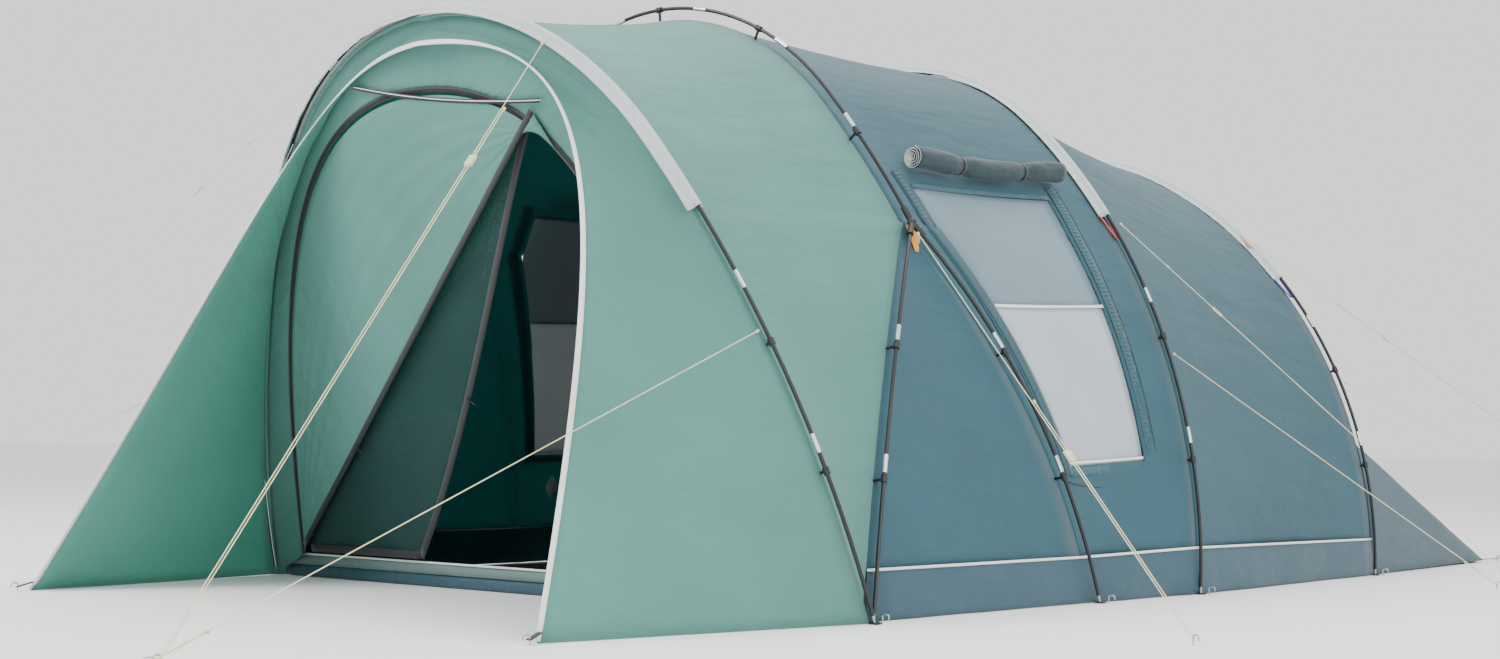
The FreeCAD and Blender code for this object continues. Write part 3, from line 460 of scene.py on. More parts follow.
def joined_mesh(name: str, meshes: Sequence[bpy.types.Mesh]) -> bpy.types.Mesh:
    """Several meshes as one."""
    points, faces, uvs = [], [], []
    for part in meshes:
        base = len(points)
        points += [tuple(vert.co) for vert in part.vertices]
        table = {}
        for loop in part.loops:
            table[loop.vertex_index] = tuple(part.uv_layers[0].data[loop.index].uv)
        uvs += [table.get(index, (0.0, 0.0)) for index in range(len(part.vertices))]
        faces += [tuple(base + index for index in face.vertices) for face in part.polygons]
        bpy.data.meshes.remove(part)
    return mesh_of(name, points, faces, uvs)


def ribbon_grid(path: Points, across: Points, width: float) -> Points:
    """A flat tape along a path: across gives its width's direction at each point."""
    across = across / np.linalg.norm(across, axis=1)[:, None]
    return np.stack([path - across * width / 2, path, path + across * width / 2], axis=1)


def mirrored_grid(grid: Points) -> Points:
    """The same sheet on the left side, with its rows turned so that it still faces outwards."""
    return (grid * np.array([-1.0, 1.0, 1.0]))[::-1]


def on_side(grid: Points, side: Side) -> Points:
    """A right-hand grid, or its mirror image."""
    return grid if side is Side.RIGHT else mirrored_grid(grid)


def smooth_noise(x: float, y: float, z: float = 0.0) -> float:
    """Smooth noise from -1 to 1."""
    return noise.noise(Vector((x, y, z)))


# ---------------------------------------------------------------- what repeats along a path
@dataclass(frozen=True)
class Repeater:
    """Small blocks set along a path by geometry nodes: zip teeth, rungs and stitches.

    pitch is the step between blocks, size a block's length along, width across and height outwards, and
    jitter how unevenly they are sized.
    """

    pitch: float
    size: tuple[float, float, float]
    material: str
    jitter: float = 0.1
    seed: int = 7

    @staticmethod
    def tree() -> bpy.types.NodeTree:
        """The node tree, made once."""
        if "blocks_along_path" in bpy.data.node_groups:
            return bpy.data.node_groups["blocks_along_path"]
        tree = bpy.data.node_groups.new("blocks_along_path", "GeometryNodeTree")
        for label, kind in (("Geometry", "NodeSocketGeometry"), ("Pitch", "NodeSocketFloat"),
                            ("Size", "NodeSocketVector"), ("Jitter", "NodeSocketFloat"),
                            ("Seed", "NodeSocketInt"),
                            ("Material", "NodeSocketMaterial")):
            tree.interface.new_socket(label, in_out="INPUT", socket_type=kind)
        tree.interface.new_socket("Geometry", in_out="OUTPUT", socket_type="NodeSocketGeometry")
        new, link = tree.nodes.new, tree.links.new
        inputs, output = new("NodeGroupInput"), new("NodeGroupOutput")
        curve, evenly = new("GeometryNodeMeshToCurve"), new("GeometryNodeResampleCurve")
        evenly.mode = "LENGTH"
        outward = new("GeometryNodeInputNamedAttribute")
        outward.data_type = "FLOAT_VECTOR"
        outward.inputs["Name"].default_value = "outward"
        tangent, block = new("GeometryNodeInputTangent"), new("GeometryNodeMeshCube")
        turn, lean = new("FunctionNodeAlignRotationToVector"), new("FunctionNodeAlignRotationToVector")
        turn.axis, lean.axis, lean.pivot_axis = "X", "Z", "X"
        uneven = new("FunctionNodeRandomValue")
        uneven.data_type = "FLOAT_VECTOR"
        low, high = new("ShaderNodeMath"), new("ShaderNodeMath")
        low.operation, high.operation = "SUBTRACT", "ADD"
        for node in (low, high):
            node.inputs[0].default_value = 1.0
            link(inputs.outputs["Jitter"], node.inputs[1])
        copies, real, paint = (new("GeometryNodeInstanceOnPoints"), new("GeometryNodeRealizeInstances"),
                               new("GeometryNodeSetMaterial"))
        link(inputs.outputs["Geometry"], curve.inputs["Mesh"])
        link(curve.outputs["Curve"], evenly.inputs["Curve"])
        link(inputs.outputs["Pitch"], evenly.inputs["Length"])
        link(inputs.outputs["Size"], block.inputs["Size"])
        link(tangent.outputs["Tangent"], turn.inputs["Vector"])
        link(turn.outputs["Rotation"], lean.inputs["Rotation"])
        link(outward.outputs["Attribute"], lean.inputs["Vector"])
        link(low.outputs[0], uneven.inputs["Min"])
        link(high.outputs[0], uneven.inputs["Max"])
        link(inputs.outputs["Seed"], uneven.inputs["Seed"])
        link(evenly.outputs["Curve"], copies.inputs["Points"])
        link(block.outputs["Mesh"], copies.inputs["Instance"])
        link(lean.outputs["Rotation"], copies.inputs["Rotation"])
        link(uneven.outputs["Value"], copies.inputs["Scale"])
        link(copies.outputs["Instances"], real.inputs["Geometry"])
        link(real.outputs["Geometry"], paint.inputs["Geometry"])
        link(inputs.outputs["Material"], paint.inputs["Material"])
        link(paint.outputs["Geometry"], output.inputs["Geometry"])
        return tree

    def place(self, name: str, path: Points, outward: Points, slot: str,
              body: str = ROOT) -> bpy.types.Object:
        """Sets the blocks along a path.

        Args:
            name: the piece's name.
            path: its points.
            outward: each point's way out.
            slot: not used.
            body: the body it rides on.

        Returns:
            The finished piece.
        """
        guide = bpy.data.meshes.new("guide")
        guide.from_pydata([tuple(spot) for spot in path],
                          [(index, index + 1) for index in range(len(path) - 1)], [])
        attribute = guide.attributes.new("outward", "FLOAT_VECTOR", "POINT")
        attribute.data.foreach_set("vector", (outward / np.linalg.norm(outward, axis=1)[:, None]).ravel())
        holder = bpy.data.objects.new("guide", guide)
        bpy.context.scene.collection.objects.link(holder)
        nodes = holder.modifiers.new("blocks", "NODES")
        nodes.node_group = self.tree()
        values = {"Pitch": self.pitch, "Size": self.size, "Jitter": self.jitter, "Seed": self.seed,
                  "Material": finish(self.material)}
        for item in nodes.node_group.interface.items_tree:
            if item.in_out == "INPUT" and item.name in values:
                nodes[item.identifier] = values[item.name]
        graph = bpy.context.evaluated_depsgraph_get()
        data = bpy.data.meshes.new_from_object(holder.evaluated_get(graph))
        holder.modifiers.remove(nodes)
        bpy.data.objects.remove(holder)
        bpy.data.meshes.remove(guide)
        data.name = name
        return new_piece(name, data, self.material, body)


RUNGS = Repeater(pitch=0.017, size=(0.0028, 0.036, 0.0022), material="band", jitter=0.25)
ZIP_TEETH = Repeater(pitch=0.009, size=(0.0045, 0.007, 0.002), material="zip")


# ---------------------------------------------------------------- the shape of the tent
@dataclass(frozen=True)
class Hoop:
    """A hoop of three arcs in a leaning plane."""

    half: float
    height: float
    toe: float
    side: float
    back: float
    lean: float
    base_z: float = 0.0

    @property
    def arcs(self) -> list[tuple[float, float, float, float, float]]:
        """Centre across, centre up, radius, first and last angle of each arc."""
        toe = math.radians(self.toe)
        cx, cz = self.half - self.side * math.cos(toe), -self.side * math.sin(toe)
        crown = (self.side ** 2 - cx ** 2 - (cz - self.height) ** 2) / (2 * (cz - self.height + self.side))
        meet = math.atan2(self.height - crown - cz, -cx)
        return [(cx, cz, self.side, toe, meet), (0.0, self.height - crown, crown, meet, math.pi - meet),
                (-cx, cz, self.side, math.pi - meet, math.pi - toe)]

    @property
    def length(self) -> float:
        """The pole's length from foot to foot."""
        return sum(radius * (end - start) for _, _, radius, start, end in self.arcs)

    def place(self, x: float, z: float) -> Points:
        """A point of the hoop's plane in the frame."""
        lean = math.radians(self.lean)
        return at(x, self.back - z * math.sin(lean), self.base_z + z * math.cos(lean))

    def point(self, run: float, inset: float = 0.0) -> Points:
        """The point a run along the hoop from its right foot."""
        for number, (cx, cz, radius, start, end) in enumerate(self.arcs):
            span = radius * (end - start)
            if run <= span or number == 2:
                angle, reach = start + run / radius, radius - inset
                return self.place(cx + reach * math.cos(angle), max(cz + reach * math.sin(angle), 0.0))
            run -= span
        raise ValueError("the run is past the hoop")

    def share(self, share: float, inset: float = 0.0) -> Points:
        """The point a share of the way from the right foot to the ridge."""
        return self.point(share * self.length / 2, inset)

    @property
    def normal(self) -> Points:
        """The way back, square to the hoop's plane."""
        lean = math.radians(self.lean)
        return np.array([0.0, math.cos(lean), math.sin(lean)])


FRONT = Hoop(1.5, 2.023, 7.2, 3.57, 0.0, 15.13)
THIRD = Hoop(1.488, 2.073, -1.0, 2.368, 1.9, -2.0)
REAR = Hoop(1.39, 1.831, -1.8, 1.873, 3.48, 0.0)
ARCH = Hoop(1.113, 0.843, 30.5, 3.6, 0.664, 5.7, 1.276)
HUB = at(1.113, 0.664, 1.276)
LEG_FEET = {"front": at(1.470, 0.030, 0.0), "rear": at(1.480, 1.25, 0.0)}
LEG_BOW, LEG_SPLAY = 0.060, 0.095
FLY_GAP, MID_GAP = 0.022, 0.042


def leg_point(foot: Points, share: float) -> Points:
    """A point of a bowed leg, by its share of the way from the foot to the hub."""
    splay = -LEG_SPLAY if foot[1] < HUB[1] else LEG_SPLAY
    return foot + (HUB - foot) * share + np.array([LEG_BOW, splay, 0.0]) * 4 * share * (1 - share)


def front_line(share: float) -> Points:
    """The cloth just inside the front hoop."""
    return FRONT.share(share, FLY_GAP)


def leg_line(foot: Points) -> Callable[[float], Points]:
    """The cloth under the second hoop, up one leg and then under the arch."""
    def line(share: float) -> Points:
        if share < HUB_SHARE:
            return leg_point(foot, share / HUB_SHARE) - np.array([MID_GAP, 0, 0])
        return ARCH.share((share - HUB_SHARE) / (1 - HUB_SHARE), MID_GAP)
    return line


near_line, far_line = leg_line(LEG_FEET["front"]), leg_line(LEG_FEET["rear"])


def third_line(share: float) -> Points:
    """The cloth just inside the third hoop."""
    return THIRD.share(share, FLY_GAP)


def rear_line(share: float) -> Points:
    """The cloth just inside the rear hoop."""
    return REAR.share(share, FLY_GAP)


def bezier(points: Sequence[Points], share: float) -> Points:
    """A cubic curve's point."""
    rest = 1 - share
    weights = (rest ** 3, 3 * share * rest ** 2, 3 * share ** 2 * rest, share ** 3)
    return sum(weight * point for weight, point in zip(weights, points))


def trim_line(share: float) -> Points:
    """The porch's free edge: from its peg up in a sweep to just under the front hoop's crown."""
    return bezier([at(1.28, -1.16, 0.0), at(0.866, -0.469, 1.411), at(0.699, -0.434, 1.830),
                   at(0, -0.549, 1.830)],
                  share)


Line = Callable[[float], Points]


def panel_grid(first: Line, second: Line, shares: Sequence[float], ways: Sequence[float], sag: float = 0.03,
               ripple: float = 0.004, warp: Callable[[float, float], float] | None = None) -> Points:
    """The right half of a panel stretched between two lines.

    Args:
        first: the line at the panel's front.
        second: the line at its back.
        shares: how far up each row is, from the ground to the ridge.
        ways: how far back each column is.
        sag: how far the cloth draws in between the lines.
        ripple: the height of its soft creases.
        warp: moves a column at a given share, for slanted edges.

    Returns:
        Rows by columns of points.
    """
    grid = np.zeros((len(shares), len(ways), 3))
    for row, share in enumerate(shares):
        near, far = first(share), second(share)
        for column, way in enumerate(ways):
            way = warp(share, way) if warp else way
            grid[row, column] = near * (1 - way) + far * way
    along = np.gradient(grid, axis=0)
    across = np.gradient(grid, axis=1)
    normal = np.cross(across, along)
    normal /= np.linalg.norm(normal, axis=2)[:, :, None] + 1e-12
    for row, share in enumerate(shares):
        for column, way in enumerate(ways):
            belly = 4 * way * (1 - way)
            pull = sag * belly * min(1.0, share * 4 + 0.15)
            crease = ripple * belly ** 0.5 * (smooth_noise(share * 26, way * 1.6, 1.0)
                                              + 0.5 * smooth_noise(share * 60 + way * 6, way * 2.5, 4.0))
            grid[row, column] -= normal[row, column] * (pull - crease)
    return grid


def over_the_top(grid: Points) -> Points:
    """A right half and its mirror image as one sheet; the ridge row is shared."""
    grid = grid.copy()
    grid[-1, :, 0] = 0.0
    left = (grid * np.array([-1.0, 1.0, 1.0]))[::-1]
    return np.concatenate([grid, left[1:]], axis=0)


def steps(low: float, high: float, count: int) -> list[float]:
    """Even steps from low to high, both ends included."""
    return list(np.linspace(low, high, count + 1))


# ---------------------------------------------------------------- camera, light, floor
@dataclass
class Studio:
    """The camera at the tent's near front corner, soft light and a pale floor."""

    camera_at: tuple[float, float, float] = (5.644, -7.056, 0.563)
    yaw: float = 41.958
    pitch: float = 2.702
    roll: float = 0.6085
    lens: float = 53.03

    def camera(self) -> None:
        """Makes the camera."""
        yaw, pitch, roll = (math.radians(value) for value in (self.yaw, self.pitch, self.roll))
        ahead = Vector((-math.sin(yaw) * math.cos(pitch), math.cos(yaw) * math.cos(pitch), math.sin(pitch)))
        right = Vector((math.cos(yaw), math.sin(yaw), 0))
        above = right.cross(ahead)
        right, above = (right * math.cos(roll) + above * math.sin(roll),
                        above * math.cos(roll) - right * math.sin(roll))
        data = bpy.data.cameras.new("camera")
        data.lens, data.sensor_width, data.clip_end = self.lens, 36.0, 200.0
        turn = Matrix((right, above, -ahead)).transposed().to_4x4()
        camera = bpy.data.objects.new("camera", data)
        camera.matrix_world = Matrix.Translation(self.camera_at) @ turn
        bpy.context.scene.collection.objects.link(camera)
        bpy.context.scene.camera = camera

    def light(self) -> None:
        """Soft light from all round, and a soft key from the front left."""
        world = bpy.data.worlds.new("world")
        bpy.context.scene.world = world
        world.use_nodes = True
        world.node_tree.nodes["Background"].inputs["Color"].default_value = (1.0, 1.0, 1.0, 1)
        world.node_tree.nodes["Background"].inputs["Strength"].default_value = 1.3
        for name, power, size, place in (("key", 900.0, 5.0, (-3.5, -9.0, 7.5)),
                                         ("fill", 350.0, 6.0, (8.0, -3.0, 5.0)),
                                         ("top", 500.0, 7.0, (0.5, 1.0, 8.5))):
            data = bpy.data.lights.new(name, "AREA")
            data.energy, data.size = power, size
            lamp = bpy.data.objects.new(name, data)
            lamp.location = place
            lamp.rotation_euler = (Vector((0, -0.5, 0.8)) - Vector(place)).to_track_quat("-Z", "Y").to_euler()
            bpy.context.scene.collection.objects.link(lamp)

    def floor(self) -> None:
        """A wide pale floor."""
        half = 60.0
        data = bpy.data.meshes.new("floor")
        data.from_pydata([(-half, -half, 0), (half, -half, 0), (half, half, 0), (-half, half, 0)], [],
                         [(0, 1, 2, 3)])
        nodes = Nodes("floor")
        place = nodes.add("ShaderNodeTexCoord")
        base = nodes.add("ShaderNodeBsdfPrincipled", Roughness=0.9)
        nodes.link(nodes.ramp(nodes.noise(place.outputs["Object"], 0.6), (0.86, 0.86, 0.86), (0.9, 0.9, 0.9)),
                   base.inputs["Base Color"])
        nodes.link(base.outputs[0], nodes.output.inputs["Surface"])
        data.materials.append(nodes.material)
        floor = bpy.data.objects.new("floor", data)
        floor.location.z = -0.0015
        bpy.context.scene.collection.objects.link(floor)

    def build(self) -> None:
        """Makes the whole set."""
        self.camera()
        self.light()
        self.floor()


# ---------------------------------------------------------------- guy lines
@dataclass(frozen=True)
class Guy:
    """A guy line's route on the right side, its tube's length, and its runner if it has one."""

    name: str
    route: tuple[tuple[float, float, float], ...]
    length: float
    runner: str = ""


GUYS = (
    Guy("front_upper", ((0.5663, -2.3905, 1.7804), (1.0968, -4.0816, 0.0127), (1.1064, -4.0786, 0.0127),
                        (0.6477, -2.6165, 1.541)), 4.6735, "front_upper"),
    Guy("front_mid", ((1.253, -2.1312, 0.8728), (1.1346, -4.1266, 0.015), (1.1446, -4.1272, 0.015),
                      (1.1537, -3.9735, 0.0811)), 2.3488),
    Guy("hub", ((1.1518, -1.231, 1.2391), (2.4996, -1.7397, 0.0131), (2.5031, -1.7303, 0.0131),
                (1.7756, -1.4557, 0.6749)), 2.9188, "hub"),
    Guy("third_upper", ((1.0926, 0.1001, 1.3778), (2.4071, 0.7429, 0.0129), (2.4027, 0.7519, 0.0129),
                        (1.2448, 0.1857, 1.2152)), 3.7699, "third_upper"),
    Guy("third_mid", ((1.3447, 0.0671, 0.8787), (2.1077, 1.1774, 0.0139), (2.0995, 1.183, 0.0139),
                      (2.0196, 1.0669, 0.1044)), 1.7745),
    Guy("rear_upper", ((0.7992, 1.6324, 1.4278), (2.3678, 2.7545, 0.0136), (2.362, 2.7626, 0.0136),
                       (1.092, 1.8541, 1.1586)), 4.334, "rear_upper"),
    Guy("rear_mid", ((1.2473, 1.6134, 0.8078), (2.4183, 2.6858, 0.0146), (2.4116, 2.6932, 0.0146),
                     (2.3011, 2.592, 0.0895)), 1.9486),
)


@dataclass
class GuyLines:
    """The guy lines, each a taut line round its peg's hook, with a wrapped knot at each end."""

    diameter: float = 0.003
    hook_lead: float = 0.018
    knot_radius: float = 0.0052

    def spline(self, guy: Guy, side: Side) -> list[Vector]:
        """The route's points on one side, with one more on each strand just before the hook."""
        start, first, last, end = (Vector((x * side.value, y, z)) for x, y, z in guy.route)
        down, up = (first - start).normalized(), (end - last).normalized()
        return [start, first - down * self.hook_lead, first, last, last + up * self.hook_lead, end]

    def build(self) -> None:
        """Makes every line on both sides."""
        for guy in GUYS:
            for side in Side:
                points = self.spline(guy, side)
                curve = bpy.data.curves.new("guy_" + guy.name, "CURVE")
                curve.dimensions, curve.bevel_depth, curve.bevel_resolution = "3D", self.diameter / 2, 3
                curve.use_fill_caps = True
                strand = curve.splines.new("NURBS")
                strand.points.add(len(points) - 1)
                for spot, point in zip(strand.points, points):
                    spot.co = (*point, 1)
                strand.order_u = 3
                strand.use_endpoint_u = True
                strand.resolution_u = 12
                label = "%s_%s" % (guy.name, side.label)
                line = new_piece("guy_line_" + label, curve, "cord", nodes=["guy_" + label])
                knot = new_piece("guy_knots_" + label, self.knots(points), "cord")

    def knots(self, points: Sequence[Vector]) -> bpy.types.Mesh:
        """Two wrapped knots: three turns round the line at its start and at its tail."""
        parts = []
        for spot, ahead in ((points[0], points[1]), (points[-1], points[-2])):
            along = np.array((ahead - spot).normalized())
            across = np.cross(along, [0.0, 0.0, 1.0])
            across /= np.linalg.norm(across)
            above = np.cross(across, along)
            turns, pitch = 3.2, self.diameter * 0.95
            path = []
            for step in range(40):
                share = step / 39
                angle = 2 * math.pi * turns * share
                path.append(np.array(spot) + along * (0.003 + pitch * turns * share)
                            + self.knot_radius * 0.62 * (math.cos(angle) * across + math.sin(angle) * above))
            parts.append(tube_mesh("turns", np.array(path), self.diameter / 2, 6))
        return joined_mesh("knots", parts)


# ---------------------------------------------------------------- cloth
@dataclass
class Fly:
    """The outer tent's panels from the porch to the rear."""

    rows: int = 84
    columns: int = 22
    window_low: float = 0.18
    window_high: float = 0.57
    window_mid: float = 0.395
    near_edge: tuple[float, float, float] = (0.14, 0.16, 0.025)
    far_edge: tuple[float, float, float] = (0.69, 0.785, 0.012)
    edge_columns: tuple[float, float] = (0.2, 0.8)

    def edges(self, share: float) -> tuple[float, float]:
        """How far back the window's front and rear edges are at a share of the height."""
        up = min(max((share - self.window_low) / (self.window_high - self.window_low), -0.3), 1.3)
        near, far = (low + (high - low) * up + bulge * 4 * up * (1 - up)
                     for low, high, bulge in (self.near_edge, self.far_edge))
        return near, far

    def warp(self, share: float, way: float) -> float:
        """Moves the columns so that two of them lie along the window's edges."""
        near, far = self.edges(share)
        low, high = self.edge_columns
        if way < low:
            return way / low * near
        if way < high:
            return near + (way - low) / (high - low) * (far - near)
        return far + (way - high) / (1 - high) * (1 - far)

    def side_point(self, share: float, column: float, lift: float = 0.0) -> Points:
        """A point on the right window panel, lifted off it."""
        way = self.warp(share, column)
        spot = far_line(share) * (1 - way) + third_line(share) * way
        step = 0.004
        along = far_line(share + step) * (1 - way) + third_line(share + step) * way - spot
        across = third_line(share) - far_line(share)
        normal = np.cross(across, along)
        normal /= np.linalg.norm(normal)
        pull = 0.02 * 4 * way * (1 - way)
        return spot + normal * (lift - pull)

    def front(self) -> None:
        """The light panel from the front hoop to the second hoop's front legs."""
        shares = steps(0, 1, self.rows)
        grid = over_the_top(panel_grid(front_line, near_line, shares, steps(0, 1, self.columns), 0.028,
                                       0.005))
        sheet_piece("front_fly_cloth", grid, "fly_light", ["front_fly"])

    def middle(self) -> None:
        """The dark panels from the second hoop's legs to the third hoop, with two windows cut out."""
        low = [share for share in steps(FLAP_SHARE, HUB_SHARE, 30)]
        wedge = panel_grid(near_line, far_line, low, steps(0, 1, 12), 0.012, 0.003)
        for side in Side:
            sheet_piece("leg_panel_" + side.label, on_side(wedge, side), "fly_dark")
        below = steps(FLAP_SHARE, self.window_low, 8)
        beside = steps(self.window_low, self.window_high, 34)
        above = steps(self.window_high, 1, 40)
        shares = below + beside[1:] + above[1:]
        ways = steps(0, 0.2, 5) + steps(0.2, 0.8, 12)[1:] + steps(0.8, 1, 5)[1:]
        grid = over_the_top(panel_grid(far_line, third_line, shares, ways, 0.02, 0.003, self.warp))
        first, last = len(below) - 1, len(below) + len(beside) - 2
        total = len(grid)

        def in_window(row: int, column: int) -> bool:
            row = row if row < total // 2 else total - 2 - row
            return first <= row < last and 5 <= column < 17
        sheet_piece("mid_fly_cloth", grid, "fly_dark", ["mid_fly"], skip=in_window)

    def back(self) -> None:
        """The dark panel from the third hoop to the rear hoop."""
        shares = steps(FLAP_SHARE, 1, self.rows)
        grid = over_the_top(panel_grid(third_line, rear_line, shares, steps(0, 1, self.columns), 0.035,
                                       0.005))
        sheet_piece("rear_fly_cloth", grid, "fly_dark", ["rear_fly"])

    def flaps(self) -> None:
        """The mud flaps along the ground, flared a little at the hem."""
        runs = ((near_line, far_line, 10), (far_line, third_line, 8), (third_line, rear_line, 16))
        blocks = []
        for first, second, count in runs:
            grid = panel_grid(first, second, steps(0, FLAP_SHARE, 8), steps(0, 1, count), 0.006, 0.003)
            blocks.append(grid if not blocks else grid[:, 1:])
        grid = np.concatenate(blocks, axis=1)
        for row in range(grid.shape[0]):
            low = 1 - row / (grid.shape[0] - 1)
            for column in range(grid.shape[1]):
                wave = smooth_noise(grid[row, column, 1] * 3.1, 2.0, 7.0)
                grid[row, column, 0] += low * (0.014 + 0.016 * wave) + (0.004 if low < 1 else 0.0)
                grid[row, column, 2] = max(grid[row, column, 2], 0.001)
        for side in Side:
            sheet_piece("mud_flap_" + side.label, on_side(grid, side), "mud_flap",
                        ["mud_flaps"] if side is Side.RIGHT else [])

    def hood(self) -> None:
        """The porch's wings and visor, from its free edge to the front hoop."""
        shares = steps(0, 1, 72)
        grid = over_the_top(panel_grid(trim_line, front_line, shares, steps(0, 1, 16), 0.03, 0.005))
        sheet_piece("porch_hood_cloth", grid, "fly_light", ["porch_hood"])

    def build(self) -> None:
        """Makes all the panels."""
        self.front()
        self.middle()
        self.back()
        self.flaps()
        self.hood()


@dataclass
class RearEnd:
    """The rear wall, which runs on into a low skirt out to the rear corner pegs."""

    rise: float = 0.545
    corner_half: float = 1.25
    corner_back: float = 4.87
    rows: int = 30
    columns: int = 26

    def share_at(self, height: float) -> float:
        """The share of the rear line's length that lies at a height."""
        low, high = 0.0, 1.0
        for _ in range(30):
            middle = (low + high) / 2
            low, high = (middle, high) if rear_line(middle)[2] < height else (low, middle)
        return low

    def build(self) -> None:
        """Makes the wall with its skirt, and the two side gussets."""
        shoulder = self.share_at(self.rise)
        rows = []
        for share in steps(1, shoulder, self.rows):
            edge = rear_line(min(share, 0.9995))
            rows.append([np.array([edge[0] * (1 - 2 * step), edge[1] + 0.004
                                   + 0.03 * (1 - share) * math.sin(math.pi * step), edge[2] - 0.004])
                         for step in steps(0, 1, self.columns)])
        top = rows[-1]
        low_left = at(-self.corner_half, self.corner_back, 0.006)
        low_right = at(self.corner_half, self.corner_back, 0.006)
        for reach in steps(0, 1, 22)[1:]:
            row = []
            for column, step in enumerate(steps(0, 1, self.columns)):
                high = top[column]
                low = low_right * (1 - step) + low_left * step
                spot = high * (1 - reach) + low * reach
                spot[2] -= 0.05 * 4 * reach * (1 - reach) * math.sin(math.pi * step) ** 0.5
                spot[2] += 0.004 * smooth_noise(step * 14, reach * 3, 3.0)
                row.append(spot)
            rows.append(row)
        grid = np.array(rows)
        sheet_piece("rear_end_cloth", grid, "fly_dark", ["rear_wall", "rear_skirt"])
        edge_from, edge_to = top[0], low_right
        gusset = []
        for step in steps(0, 1, 14):
            foot = rear_line(step * shoulder)
            foot = foot + np.array([0.0, 0.006, 0.0])
            row = [foot * (1 - reach) + (edge_to * (1 - step) + edge_from * step) * reach
                   for reach in steps(0, 1, 16)]
            gusset.append(row)
        lower = np.array(gusset)
        lower[:, :, 2] = np.maximum(lower[:, :, 2], 0.001)
        for side in Side:
            sheet_piece("rear_gusset_" + side.label, on_side(lower, side), "mud_flap")


WING_SEAM = ((-1.455, 0.03), (-1.41, 0.60), (-1.20, 1.28), (-0.829, 1.577))
TOP_SEAM = ((-0.434, 1.739), (-0.10, 1.66), (0.20, 1.63), (0.478, 1.613))


